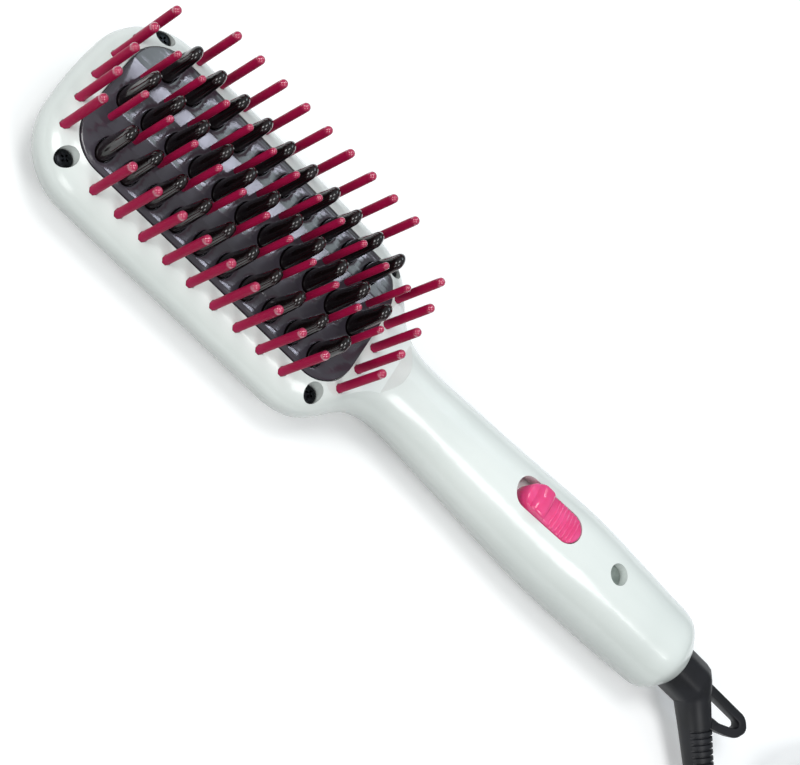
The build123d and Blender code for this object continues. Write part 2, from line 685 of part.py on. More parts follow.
def insulation_sheet():
    """Sheet between the clamp plate and the posts, open round the screw heads."""
    sheet = rounded_plate(0, CLAMP_HALF_LENGTH, CLAMP_HALF_WIDTH, STACK_CORNER, SHEET_Z, CLAMP_Z)
    return pierced(sheet, plate_screw_places(), PLATE_SCREW_HEAD + SCREW_GAP)


def plate_screws():
    """Screws from the clamp plate up into the cover's spacers."""
    top = PLATE_TOP_Z + PLATE_SCREW_BITE - SCREW_GAP
    return Compound([
        upright(x, y, SHEET_Z, CLAMP_Z, PLATE_SCREW_HEAD) + upright(x, y, CLAMP_Z, top, PLATE_SCREW_RADIUS)
        for x, y in plate_screw_places()])


def leaded(x, radius, length):
    """A small round body with a lead at each end, lying under the insulation sheet."""
    z = SHEET_Z - SEAT_GAP - radius
    body = along_x(x - length / 2, x + length / 2, radius, z)
    return body + along_x(x - length / 2 - LEAD_LENGTH, x + length / 2 + LEAD_LENGTH, LEAD_RADIUS, z)


def head_screws():
    """Screws down the wells into the back shell."""
    seat = PARTING_Z + BOSS_WEB
    bottom = PARTING_Z - HEAD_SCREW_LENGTH + SCREW_GAP
    return Compound([
        upright(x, y, seat, seat + HEAD_SCREW_HEAD_HEIGHT, HEAD_SCREW_HEAD)
        + upright(x, y, bottom, seat, HEAD_SCREW_RADIUS) for x, y in well_places()])


def circuit_board():
    """Board in the grip, held by a screw at each end."""
    board = slab(BOARD_X0, BOARD_X1, -BOARD_HALF_WIDTH, BOARD_HALF_WIDTH, BOARD_Z, BOARD_TOP_Z)
    return pierced(board, [(x, 0) for x in BOARD_SCREW_X], BOARD_SCREW_RADIUS + SCREW_GAP)


def board_screws():
    """The board's two screws."""
    return Compound([
        upright(x, 0, BOARD_TOP_Z, BOARD_TOP_Z + BOARD_SCREW_HEAD_HEIGHT, BOARD_SCREW_HEAD)
        + upright(x, 0, BOARD_Z - BOARD_SCREW_BITE + SCREW_GAP, BOARD_TOP_Z, BOARD_SCREW_RADIUS)
        for x in BOARD_SCREW_X])


def switch_body():
    """Slide switch on the board, open on top for its slider's travel."""
    half = SWITCH_BODY_HALF_LENGTH
    body = slab(KNOB_X - half, KNOB_X + half, -SWITCH_BODY_HALF_WIDTH, SWITCH_BODY_HALF_WIDTH,
                BOARD_TOP_Z, SWITCH_TOP_Z)
    reach = SLIDER_HALF_LENGTH + SLIDER_GAP
    width = SLIDER_HALF_WIDTH + SLIDER_GAP
    return body - slab(KNOB_X - reach - SWITCH_TRAVEL, KNOB_X + reach, -width, width,
                       SWITCH_TOP_Z - SLIDER_DEPTH, BIG)


def switch_slider():
    """The switch's own slider with the nub that the knob's fork moves."""
    slider = slab(KNOB_X - SLIDER_HALF_LENGTH, KNOB_X + SLIDER_HALF_LENGTH,
                  -SLIDER_HALF_WIDTH, SLIDER_HALF_WIDTH, SWITCH_TOP_Z - SLIDER_DEPTH, SWITCH_TOP_Z)
    return slider + slab(KNOB_X - NUB_HALF, KNOB_X + NUB_HALF, -NUB_HALF, NUB_HALF,
                         SWITCH_TOP_Z, SWITCH_TOP_Z + NUB_HEIGHT)


def switch_knob():
    """Slide knob: crowned top with a thumb ridge and fine ribs, flange under the slot, fork below."""
    z0 = grip_top(KNOB_X - KNOB_LENGTH / 2) + KNOB_PROUD
    z1 = grip_top(KNOB_X + KNOB_LENGTH / 2) + KNOB_PROUD
    slope = Vector(KNOB_LENGTH, 0, z1 - z0)
    axis = Plane(origin=(KNOB_X, 0, (z0 + z1) / 2 - KNOB_CROWN_RADIUS), z_dir=slope)
    column = extrude(SlotOverall(KNOB_LENGTH, 2 * KNOB_HALF_WIDTH), BIG)
    column = Pos(KNOB_X, 0, FLANGE_TOP_Z) * column

    def crowned(raised):
        bar = extrude(axis * Circle(KNOB_CROWN_RADIUS + raised), KNOB_LENGTH, both=True)
        return bar & column

    knob = crowned(0)
    ridge = slab(RIDGE_X - RIDGE_WIDTH / 2, RIDGE_X + RIDGE_WIDTH / 2, -BIG, BIG, FLANGE_TOP_Z, BIG)
    knob += rounded_ridge(crowned(RIDGE_HEIGHT) & ridge)
    ribs = crowned(RIB_HEIGHT)
    for i in range(RIB_COUNT):
        x = RIB_X0 + i * RIB_PITCH
        knob += ribs & slab(x - RIB_WIDTH / 2, x + RIB_WIDTH / 2, -BIG, BIG, FLANGE_TOP_Z, BIG)
    reach = KNOB_LENGTH / 2 + FLANGE_BORDER_X
    width = KNOB_HALF_WIDTH + FLANGE_BORDER_Y
    knob += slab(KNOB_X - reach, KNOB_X + reach, -width, width, FLANGE_Z, FLANGE_TOP_Z)
    fork_z = SWITCH_TOP_Z + RAIL_GAP
    for side in (-1, 1):
        x = KNOB_X + side * (NUB_HALF + SLIDER_GAP + FORK_THICKNESS / 2)
        knob += slab(x - FORK_THICKNESS / 2, x + FORK_THICKNESS / 2, -NUB_HALF, NUB_HALF, fork_z, FLANGE_Z)
    return knob


def rounded_ridge(ridge):
    """The thumb ridge with its two long top edges rounded."""
    edges = [edge for edge in ridge.edges().group_by(Axis.Z)[-1] if edge.length > KNOB_HALF_WIDTH]
    return fillet(edges, RIDGE_ROUND)


def indicator_window():
    """Clear window in the lamp tube, with a rim under the tube."""
    window = upright(LAMP_X, 0, LAMP_TUBE_Z, LAMP_WINDOW_TOP_Z, LAMP_WINDOW_RADIUS)
    return window + upright(LAMP_X, 0, LAMP_TUBE_Z - LAMP_RIM_THICKNESS, LAMP_TUBE_Z, LAMP_RIM_RADIUS)


def indicator_lamp():
    """Small domed lamp on the board."""
    lamp = upright(LAMP_X, 0, BOARD_TOP_Z, BOARD_TOP_Z + LED_HEIGHT, LED_RADIUS)
    return fillet(lamp.edges().sort_by(Axis.Z)[-1], LED_DOME)


def swivel_barrel():
    """Hollow neck with the flange that turns between the two inner walls."""
    barrel = along_x(THRUST_X, COLLAR_X, THRUST_RADIUS) + along_x(BARREL_X0, THRUST_X, BARREL_RADIUS)
    return barrel - along_x(0, BIG, BARREL_BORE)


def slip_rings():
    """Two contact rings on the neck."""
    bore = along_x(0, BIG, BARREL_RADIUS + RING_GAP)
    return Compound([along_x(x - RING_WIDTH / 2, x + RING_WIDTH / 2, RING_RADIUS) - bore for x in RING_X])


def contact_springs():
    """One bent leaf beside each ring, on its rest in the back shell."""
    leaves = []
    for x, side in zip(RING_X, (1, -1)):
        y = RING_RADIUS + LEAF_GAP
        x0 = x - RING_WIDTH / 2
        x1 = x + RING_WIDTH / 2
        leaf = slab(x0, x1, y, y + LEAF_THICKNESS, LEAF_FOOT_Z, LEAF_TOP_Z)
        leaf += slab(x0, x1, y, y + LEAF_FOOT_REACH, LEAF_FOOT_Z, LEAF_FOOT_Z + LEAF_THICKNESS)
        leaves.append(leaf if side > 0 else mirror(leaf, Plane.XZ))
    return Compound(leaves)


def boot_profile(length):
    """Half outline of the strain relief: a taper with narrow grooves towards the cord."""
    share = length / (len(BOOT_RADII) - 1)

    def radius(s):
        i = min(int(s / share), len(BOOT_RADII) - 2)
        return BOOT_RADII[i] + (BOOT_RADII[i + 1] - BOOT_RADII[i]) * (s / share - i)

    points = [(0, 0), (radius(0), 0)]
    for i in range(GROOVE_COUNT):
        s = GROOVE_START + i * GROOVE_PITCH
        points += [(radius(s), s), (radius(s) - GROOVE_DEPTH, s),
                   (radius(s) - GROOVE_DEPTH, s + GROOVE_WIDTH), (radius(s), s + GROOVE_WIDTH)]
    points += [(radius(length), length), (0, length)]
    return make_face(Polyline(*points, close=True))


def swivel_fitting():
    """Collar, elbow, hanging loop and grooved strain relief, moulded in one."""
    elbow = Vector(ELBOW_X, 0, SWIVEL_Z)
    run = Vector(*LEAD_POINTS[0]) - elbow
    boot = revolve(Plane.XZ * boot_profile(run.length), Axis.Z)
    boot = Plane(origin=elbow, z_dir=run) * boot
    far = Vector(0, -run.Y, -run.Z).normalized()
    bend = Plane(origin=elbow, x_dir=(1, 0, 0), z_dir=Vector(1, 0, 0).cross(far))
    tip = LOOP_TIP_X - ELBOW_X
    root = LOOP_ROOT_X - ELBOW_X
    slant = (tip - root) / (LOOP_ROOT_DROP + LOOP_OUTER / 2)
    outline = Polyline((0, LOOP_OUTER), (tip - LOOP_TIP_RADIUS, LOOP_OUTER), (tip, LOOP_OUTER / 2),
                       (root, -LOOP_ROOT_DROP), (0, -LOOP_ROOT_DROP), close=True)
    plate = extrude(make_face(outline), LOOP_THICKNESS / 2, both=True)
    tip_edges = [edge for edge in plate.edges().filter_by(Axis.Z) if edge.center().X > root + LOOP_CROOK]
    plate = fillet(tip_edges, LOOP_TIP_RADIUS)
    hole_x0 = LOOP_HOLE_X0 - ELBOW_X
    hole_x1 = tip - (LOOP_OUTER - LOOP_INNER) * slant - LOOP_TIP_RADIUS / 2
    hole_drop = LOOP_ROOT_DROP - LOOP_RIM
    hole = make_face(Polyline((hole_x0, LOOP_INNER), (hole_x1, LOOP_INNER),
                              (root - LOOP_CROOK, -hole_drop), (hole_x0, -hole_drop), close=True))
    plate = plate - extrude(hole, LOOP_THICKNESS, both=True)
    collar = along_x(COLLAR_X, ELBOW_X, COLLAR_RADIUS)
    return collar + Pos(elbow) * Sphere(COLLAR_RADIUS) + boot + bend * plate


def tube(points, radius):
    """A round tube along straight runs with the largest tangent arcs that the runs allow."""
    corners = [Vector(*p) for p in points]
    radii = []
    for a, b, c in zip(corners, corners[1:], corners[2:]):
        half_turn = radians((b - a).get_angle(c - b)) / 2
        radii.append(0.45 * min((b - a).length, (c - b).length) / tan(half_turn))
    path = FilletPolyline(*corners, radius=radii)
    print("tube radii", [round(r, 1) for r in radii], "length", round(path.length, 1))
    return sweep(Plane(origin=path @ 0, z_dir=path % 0) * Circle(radius), path=path)


def heater_wires():
    """Two wires from the heater to the board."""
    return Compound([tube([(x, side * y, z) for x, y, z in HEATER_WIRE_POINTS], HEATER_WIRE_RADIUS)
                     for side in (-1, 1)])


def supply_wires():
    """Two wires from the contact leaves to the board."""
    top = LEAF_FOOT_Z + LEAF_THICKNESS + SUPPLY_WIRE_RADIUS + SEAT_GAP
    y = RING_RADIUS + LEAF_GAP + LEAF_FOOT_REACH - SUPPLY_WIRE_RADIUS
    start = BOARD_X1 + SEAT_GAP + SUPPLY_WIRE_RADIUS
    height = BOARD_Z + BOARD_THICKNESS / 2
    wires = []
    for x, side in zip(RING_X, (1, -1)):
        middle = (start + x) / 2
        board_end = (start, side * (y - SUPPLY_WIRE_DRAW_IN), height)
        points = (board_end, (middle, side * y, (height + top) / 2), (x, side * y, top))
        wires.append(tube(points, SUPPLY_WIRE_RADIUS))
    return Compound(wires)


def coil_path():
    """The put-away cord: spiral in, climb, spiral out above it, climb, and a quarter turn to the plug."""
    start = Vector(*LEAD_POINTS[-1])
    ahead = (start - Vector(*LEAD_POINTS[-2])).normalized()
    left = Vector(0, 0, 1).cross(ahead)
    edges = [Line(start, start + ahead * COIL_END_STRAIGHT)]

    def half_turn(radius, climb=0.0):
        """Half a turn to the left, tilted where it climbs."""
        nonlocal ahead, left
        here = edges[-1] @ 1
        there = here + left * 2 * radius + Vector(0, 0, climb)
        tilted = sqrt(radius ** 2 + climb ** 2 / 4)
        edges.append(ThreePointArc(here, (here + there) / 2 + ahead * tilted, there))
        ahead = -ahead
        left = -left

    for i in range(COIL_HALF_TURNS_IN):
        half_turn(COIL_RADIUS - i * COIL_STEP)
    inner = COIL_RADIUS - COIL_HALF_TURNS_IN * COIL_STEP
    half_turn(inner, COIL_LAYER)
    for i in range(COIL_HALF_TURNS_OUT):
        half_turn(inner + (i + 1) * COIL_STEP)
    plug_z = CORD_RADIUS + COIL_LAYER + CORD_RADIUS + PLUG_SEAT_GAP + PLUG_HEIGHT / 2
    outer = inner + (COIL_HALF_TURNS_OUT + 1) * COIL_STEP - COIL_CLIMB_INSET
    half_turn(outer, plug_z - (edges[-1] @ 1).Z)
    here = edges[-1] @ 1
    corner = here + ahead * PLUG_TURN_RADIUS
    middle = corner + (left - ahead) * PLUG_TURN_RADIUS * (1 - sqrt(0.5))
    there = corner + left * PLUG_TURN_RADIUS
    edges.append(ThreePointArc(here, middle, there))
    edges.append(Line(there, there + left * COIL_END_STRAIGHT))
    return Wire(edges)


def coil_gap(path):
    """Least space between two stretches of the coil, measured on points along it."""
    count = int(path.length / 4)
    points = [path @ (i / count) for i in range(count + 1)]
    skip = int(8 * CORD_RADIUS / (path.length / count))
    least = min((a - b).length for i, a in enumerate(points) for b in points[i + skip:])
    return least - 2 * CORD_RADIUS


def cord_coil(path):
    """The cord's coil as one unbroken tube of flat facets."""
    flat = RegularPolygon(CORD_RADIUS, CORD_SIDES, major_radius=False, rotation=180 / CORD_SIDES)
    start = path % 0
    across = Vector(0, 0, 1).cross(start)
    return sweep(Plane(origin=path @ 0, x_dir=across, z_dir=start) * flat, path=path)


def plug_plane(path):
    """Where the cord enters the plug, looking along the plug."""
    return Plane(origin=path @ 1, x_dir=path % 1, z_dir=(0, 0, 1))


def plug_body(place):
    """Flat two-pin plug with sloping shoulders and its strain relief."""
    half = PLUG_WIDTH / 2
    x0 = PLUG_RELIEF_LENGTH
    x1 = x0 + PLUG_LENGTH
    waist = PLUG_RELIEF_RADIUS + PLUG_WAIST_BORDER
    outline = Polyline((x0, -waist), (x0 + PLUG_SHOULDER, -half), (x1, -half),
                       (x1, half), (x0 + PLUG_SHOULDER, half), (x0, waist), close=True)
    body = extrude(make_face(outline), PLUG_HEIGHT / 2, both=True)
    corners = [edge for edge in body.edges().filter_by(Axis.Z) if abs(edge.center().Y) > waist]
    body = fillet([edge for edge in corners if edge.center().X < x0 + PLUG_LENGTH / 2], PLUG_SHOULDER / 2)
    relief = extrude(Plane.YZ * Circle(PLUG_RELIEF_RADIUS), x0 + PLUG_WAIST_BORDER)
    return place * (body + relief)


def plug_pins(place):
    """Two round pins."""
    x1 = PLUG_RELIEF_LENGTH + PLUG_LENGTH
    pins_made = []
    for side in (-1, 1):
        base = Plane(origin=(x1, side * PLUG_PIN_SPACING / 2, 0), z_dir=(1, 0, 0))
        pin = extrude(base * Circle(PLUG_PIN_RADIUS), PLUG_PIN_LENGTH)
        pins_made.append(place * chamfer(pin.edges().sort_by(Axis.X)[-1], PLUG_PIN_RADIUS / 3))
    return Compound(pins_made)


def build():
    """Every piece by its node's name."""
    outer = housing(0, housing_stations()) - slab(-BIG, BIG, -BIG, BIG, -BIG, 0)
    shell = outer - cavity()
    coil = coil_path()
    print("cord length", round(coil.length), "in the coil; least gap", round(coil_gap(coil), 2))
    plug = plug_plane(coil)
    return {
        "front_shell": front_shell(outer, shell),
        "back_shell": back_shell(outer, shell),
        "heater_cover": heater_cover(),
        "near_tines": tines(-TINE_ROW_Y, TINE_COUNT, TINE_TIP_Z),
        "middle_tines": tines(0, MIDDLE_COUNT, MIDDLE_TIP_Z),
        "far_tines": tines(TINE_ROW_Y, TINE_COUNT, TINE_TIP_Z),
        "rim_pins": pins(rim_places(), STRIP_TOP_Z),
        "inner_pins": inner_pins(),
        "pin_strips": pin_strips(),
        "heater_plate": heater_plate(),
        "heating_elements": heating_elements(),
        "clamp_plate": clamp_plate(),
        "insulation_sheet": insulation_sheet(),
        "plate_screws": plate_screws(),
        "thermal_fuse": leaded(FUSE_X, FUSE_RADIUS, FUSE_LENGTH),
        "temperature_sensor": leaded(SENSOR_X, SENSOR_RADIUS, 2 * SENSOR_RADIUS),
        "head_screws": head_screws(),
        "circuit_board": circuit_board(),
        "board_screws": board_screws(),
        "switch_body": switch_body(),
        "switch_slider": switch_slider(),
        "switch_knob": switch_knob(),
        "indicator_window": indicator_window(),
        "indicator_lamp": indicator_lamp(),
        "swivel_fitting": swivel_fitting(),
        "swivel_barrel": swivel_barrel(),
        "slip_rings": slip_rings(),
        "contact_springs": contact_springs(),
        "heater_wires": heater_wires(),
        "supply_wires": supply_wires(),
        "cord_lead": tube(LEAD_POINTS, CORD_RADIUS),
        "cord_coil": cord_coil(coil),
        "plug_body": plug_body(plug),
        "plug_pins": plug_pins(plug),
    }


os.makedirs("parts", exist_ok=True)
for name, piece in build().items():
    export_step(piece, "parts/" + name + ".step")
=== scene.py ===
from math import atan2, cos, pi, radians, sin, sqrt, tan

import bmesh
import bpy
from mathutils import Matrix, Vector


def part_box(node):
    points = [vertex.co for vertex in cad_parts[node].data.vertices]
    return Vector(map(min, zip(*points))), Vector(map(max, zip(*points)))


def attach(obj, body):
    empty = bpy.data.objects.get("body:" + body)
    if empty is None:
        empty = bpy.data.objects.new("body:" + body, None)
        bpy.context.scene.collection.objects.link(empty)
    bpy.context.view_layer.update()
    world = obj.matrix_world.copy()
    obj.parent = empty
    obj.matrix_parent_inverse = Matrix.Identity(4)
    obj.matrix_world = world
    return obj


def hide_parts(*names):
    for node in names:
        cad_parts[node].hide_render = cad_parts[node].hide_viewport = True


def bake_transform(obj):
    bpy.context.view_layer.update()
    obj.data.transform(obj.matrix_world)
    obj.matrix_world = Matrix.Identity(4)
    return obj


# Hair straightening brush, dressed on its CAD frame.
# Metres: X runs from the head's tip to the cord, Z points up out of the bristles, Z = 0 is the table.

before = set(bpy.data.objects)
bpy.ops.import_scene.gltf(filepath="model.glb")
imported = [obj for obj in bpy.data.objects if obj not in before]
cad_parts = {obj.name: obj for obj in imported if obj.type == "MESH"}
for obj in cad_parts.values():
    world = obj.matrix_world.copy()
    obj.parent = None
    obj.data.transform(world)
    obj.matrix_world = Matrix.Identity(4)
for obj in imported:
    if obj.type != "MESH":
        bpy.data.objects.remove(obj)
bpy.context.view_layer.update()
MM = 0.001

# Points nearer than this are one: at a corner of the loop, in a finished piece, in a CAD node's mesh
CONTACT = 0.01 * MM
WELD = 0.002 * MM
NODE_WELD = 0.001 * MM

# Camera, fitted to the rows of pins in the photograph
CAMERA_PLACE = Vector((-0.10009, -0.24979, 0.39436))
CAMERA_FORWARD = Vector((0.33544, 0.52012, -0.78547))
CAMERA_UP = Vector((-0.66334, 0.72244, 0.19510))
CAMERA_LENS = 83.7
SENSOR_WIDTH = 36.0
CAMERA_CLIP = (0.01, 20.0)

# Four lamps in a square about the camera: metres and watts, the lower two first
LAMP_AIM = (0.06, 0.0, 0.01)
LAMP_REACH = 1.0
LAMP_APART = 0.5
LAMP_SIDE = 0.42
LAMP_POWER = (2.4, 4.2)
# The lower one on the right is moved to where the grip mirrors it beside the indicator
GRIP_LAMP_SHIFT = Vector((0.17, 0.12, 0.0))
GRIP_LAMP_POWER = 3.6
# The strip is where the cover mirrors it beside the middle tines
STRIP_PLACE = (0.25, 0.737, 1.0)
STRIP_SIZE = (0.36, 0.035)
STRIP_POWER = 0.95
STRIP_COLOUR = "#E9E9FF"
# The soft box is what the cover's far side mirrors
BOX_PLACE = (0.15, 1.02, 1.0)
BOX_SIZE = (0.7, 0.4)
BOX_POWER = 2.2
BOX_COLOUR = "#E2F8FA"
# Surround: strength at the horizon and overhead
SURROUND = (0.2, 0.62)

# Table, and the glow that makes it white to the camera
TABLE_SIZE = 12.0
TABLE_PLACE = (0.1, 0, -0.05 * MM)
TABLE_GLOW = 0.2

# A noise pattern keeps mostly between these values
NOISE_LOW = 0.3
NOISE_HIGH = 0.7
# Patches of shade in grains, the depth of a grain as a share of its size, and how a metal's gloss varies
SHADE_GRAINS = 8
GRAIN_DEPTH = 0.02
METAL_GLOSS = (-0.06, 0.08)

# Cord: the route of the CAD solid
CORD_RADIUS = 2.75 * MM
LEAD_POINTS = (
    (0.2145, -0.0250, 0.00750),
    (0.2245, -0.03608, 0.00515),
    (0.24783, -0.04870, 0.00275),
    (0.26202, -0.05292, 0.00275),
)
COIL_RADIUS = 41.0 * MM
COIL_STEP = 3.05 * MM
COIL_HALF_TURNS = 8
# The upper layer lies so much higher, and its last half turn, which climbs to the plug, is so much tighter
COIL_LAYER = 5.95 * MM
COIL_CLIMB_INSET = 1.2 * MM
COIL_END_STRAIGHT = 5.5 * MM
PLUG_TURN_RADIUS = 14.0 * MM
TURN_POINTS = 8
ROUTE_STEPS = 4
# The lead is cut finer over this reach in front of the strain relief, short of the coil
LEAD_BEND_REACH = 19.0 * MM
LEAD_CUTS = 24

# Bristle field
PIN_RADIUS = 1.2 * MM
INNER_PIN_RADIUS = 0.97 * MM
PIN_DOME = 1.1 * MM
PIN_TIP = 1.5 * MM
PIN_STEPS = 16
# Heights above the table between which a pin goes from the painted glow at its root, which stands in for
# light bounced up from the white housing, to its full colour
PIN_PAINTED_GLOW_ROOT = 20.0 * MM
PIN_PAINTED_GLOW_TOP = 27.0 * MM
# Rails under the inner pins, which start at that share of a rail's height
RAIL_HEIGHT = 0.8 * MM
PIN_SEAT = 0.75
PITCH = 8.0 * MM
INNER_COUNT = 11
TINE_ROWS = ("near_tines", "middle_tines", "far_tines")
TINE_STEPS = 32
# Half width along and across at the foot, then half width along at the neck
TINE_FOOT = Vector((2.2, 3.6)) * MM
TINE_NECK = 1.6 * MM
TINE_TAPER_STEPS = 6
TINE_DOME = 2.1 * MM
TINE_DOME_STEPS = 10
APERTURE_GAP = 0.2 * MM
COVER_CORNER = 10.4 * MM
COVER_CORNER_STEPS = 12
COVER_CROWN_RADIUS = 340.0 * MM
COVER_CROWN_CUTS = 12
COVER_EDGE = 0.3 * MM

# Slide knob: its column, the two heights of its crown's ridge line, thumb ridge and ribs
KNOB_X0 = 105.3 * MM
KNOB_X1 = 125.5 * MM
KNOB_HALF_WIDTH = 4.45 * MM
KNOB_ROOT_Z = 19.1 * MM
KNOB_TOP_Z = (25.1 * MM, 25.6 * MM)
KNOB_CROWN_RADIUS = 13.0 * MM
KNOB_EDGE = 0.7 * MM
KNOB_EDGE_STEPS = 4
KNOB_SIDES = 48
KNOB_ROWS = 9
RIDGE_X = 110.6 * MM
RIDGE_HALF = 2.8 * MM
RIDGE_HEIGHT = 1.3 * MM
RIDGE_CUTS = 7
RIB_X0 = 115.4 * MM
RIB_PITCH = 1.3 * MM
RIB_COUNT = 7
RIB_HALF = 0.4 * MM
RIB_HEIGHT = 0.3 * MM
RIB_CUTS = 2
# White flange under the knob: how far it reaches past it along and across, and how thick it is
FLANGE_BORDER = Vector((3.0, 1.4)) * MM
FLANGE_THICKNESS = 1.2 * MM

# Swivel fitting: collar, elbow, boot that points along the cord, hanging loop
COLLAR_X0 = 172.0 * MM
COLLAR_RADIUS = 7.1 * MM
# Flats round the collar: how many, how far out they lie as a share of the radius, and their turn
COLLAR_FACETS = 8
FACET_DEPTH = 0.96
FACET_TURN = 0.2
ELBOW = Vector((189.9, 0.0, 12.8)) * MM
ELBOW_CUT = 0.4 * MM
# Sections of the elbow: share of the bend, and radius in millimetres
ELBOW_SECTIONS = ((0.0, 7.1), (0.2, 7.0), (0.47, 6.4), (0.75, 5.9))
# The boot starts so far towards the elbow's inner side. Its radii are in millimetres, from there to its end
BOOT_LEAN = 1.5 * MM
BOOT_END = Vector((214.5, -25.0, 7.5)) * MM
BOOT_RADII = (5.5, 4.8, 4.3, 4.0)
FITTING_SIDES = 48
GROOVE_START = 11.4 * MM
GROOVE_PITCH = 1.8 * MM
GROOVE_COUNT = 11
GROOVE_WIDTH = 0.8 * MM
GROOVE_WALL = 0.15 * MM
GROOVE_DEPTH = 0.6 * MM
# The grooves are on the side of the boot to the camera's right: how far they run past it, and how they fade
GROOVE_FADE = 0.45
GROOVE_RUNOUT = 0.2
# The loop's corners in millimetres from the elbow, along the handle and across it
LOOP_CORNERS = ((-1.0, 3.6), (18.6, 3.6), (21.6, 0.6), (19.6, -3.4), (12.5, -6.0), (-1.0, -7.0))
LOOP_RIM = 2.6 * MM
LOOP_THICKNESS = 4.0 * MM
LOOP_ROUND = 1.6 * MM
LOOP_HOLE_ROUND = 0.5 * MM
LOOP_SOFT = 0.3 * MM
# Edges that turn by more than so many radians are softened
LOOP_SOFT_ANGLE = 1.2

# Screws, as seen down the wells
SHANK_RADIUS = 1.25 * MM
HEAD_HEIGHT = 1.3 * MM
HEAD_RAISE = 3.4 * MM
HEAD_DOME = 0.6 * MM
HEAD_DOME_STEPS = 6
SCREW_STEPS = 24
# A face whose normal rises by more than this counts as level
LEVEL = 0.99
CROSS_LENGTH = 1.25 * MM
CROSS_WIDTH = 0.3 * MM
CROSS_DEPTH = 0.7 * MM

# Plug: how far its face lies past the cord's end, its pins' spacing, their sleeves, and its grip
PLUG_REACH = 36.0 * MM
PLUG_PIN_SPACING = 18.6 * MM
SLEEVE_LENGTH = 10.0 * MM
SLEEVE_RADIUS = 2.08 * MM
SLEEVE_SIDES = 32
GRIP_RIBS = 6
GRIP_START = 6.0 * MM
GRIP_PITCH = 2.4 * MM
# Width, length and height of one rib
GRIP_RIB = (1.1 * MM, 18.0 * MM, 0.5 * MM)


def linear(hex_colour):
    """An sRGB hex colour as linear red, green, blue and alpha."""
    parts = [int(hex_colour[i:i + 2], 16) / 255 for i in (1, 3, 5)]
    return [p / 12.92 if p <= 0.04045 else ((p + 0.055) / 1.055) ** 2.4 for p in parts] + [1.0]


def add(tree, kind, sockets=None, **settings):
    """A node with its settings, and each socket's value or the output that feeds it."""
    node = tree.nodes.new(kind)
    for name, value in settings.items():
        setattr(node, name, value)
    for name, value in (sockets or {}).items():
        if isinstance(value, bpy.types.NodeSocket):
            tree.links.new(value, node.inputs[name])
        else:
            node.inputs[name].default_value = value
    return node


def finish_of(name, **values):
    """A material by its real name, with its shader: colours in hex, the rest as the sockets take them."""
    material = bpy.data.materials.new(name)
    material.use_nodes = True
    tree = material.node_tree
    shader = tree.nodes["Principled BSDF"]
    for key, value in values.items():
        socket = shader.inputs[key.replace("_", " ").title().replace("Ior", "IOR")]
        socket.default_value = linear(value) if isinstance(value, str) else value
    place = add(tree, "ShaderNodeTexCoord").outputs["Object"]
    return material, tree, shader, place


def noise(tree, place, size, detail=2.0):
    """Cloudy pattern whose patches are about that size in metres."""
    sockets = {"Vector": place, "Scale": 1 / size, "Detail": detail}
    return add(tree, "ShaderNodeTexNoise", sockets).outputs["Fac"]


def between(tree, amount, first, last, start=NOISE_LOW, end=NOISE_HIGH):
    """Colour that goes from first to last as amount goes from start to end."""
    ramp = add(tree, "ShaderNodeValToRGB", {"Fac": amount})
    ramp.color_ramp.elements[0].position = start
    ramp.color_ramp.elements[0].color = linear(first)
    ramp.color_ramp.elements[1].position = end
    ramp.color_ramp.elements[1].color = linear(last)
    return ramp.outputs["Color"]


def spread(tree, amount, low, high):
    """Number that goes from low to high with the pattern."""
    sockets = {"Value": amount, "From Min": NOISE_LOW, "From Max": NOISE_HIGH, "To Min": low, "To Max": high}
    return add(tree, "ShaderNodeMapRange", sockets).outputs["Result"]


def relief(tree, shader, height, depth):
    """Bump of that depth in metres from a pattern of 0 to 1."""
    bump = add(tree, "ShaderNodeBump", {"Height": height, "Strength": 1.0, "Distance": depth})
    tree.links.new(bump.outputs["Normal"], shader.inputs["Normal"])


def height_of(tree, place):
    """A place's height above the table in metres, or how far a direction rises."""
    return add(tree, "ShaderNodeSeparateXYZ", {"Vector": place}).outputs["Z"]


def polished_abs():
    """White ABS from a polished mould: glossy, milky, with the slightest flow marks."""
    material, tree, shader, place = finish_of(
        "white_abs_polished", IOR=1.53, roughness=0.2, coat_weight=0.15, coat_roughness=0.05)
    colour = between(tree, noise(tree, place, 30 * MM), "#DAE1DD", "#E4EAE6")
    tree.links.new(colour, shader.inputs["Base Color"])
    tree.links.new(spread(tree, noise(tree, place, 9 * MM), 0.18, 0.23), shader.inputs["Roughness"])
    relief(tree, shader, noise(tree, place, 4 * MM), 0.01 * MM)
    return material


def pin_nylon():
    """Pink translucent nylon, moulded: a deep even colour, painted paler at the root for the light that the
    white housing bounces into it.
    """
    material, tree, shader, place = finish_of(
        "pink_nylon_moulded", IOR=1.53, roughness=0.35, specular_ior_level=0.04,
        subsurface_weight=0.12, subsurface_scale=0.002)
    shader.inputs["Subsurface Radius"].default_value = (1.0, 0.25, 0.35)
    # Painted light: the paler colour low on each pin stands in for light bounced up from the white housing
    sockets = {"Value": height_of(tree, place), "From Min": PIN_PAINTED_GLOW_ROOT, "From Max": PIN_PAINTED_GLOW_TOP}
    risen = add(tree, "ShaderNodeMapRange", sockets).outputs["Result"]
    tree.links.new(between(tree, risen, "#AE2452", "#A81646", 0, 1), shader.inputs["Base Color"])
    relief(tree, shader, noise(tree, place, 1.5 * MM), 0.01 * MM)
    return material


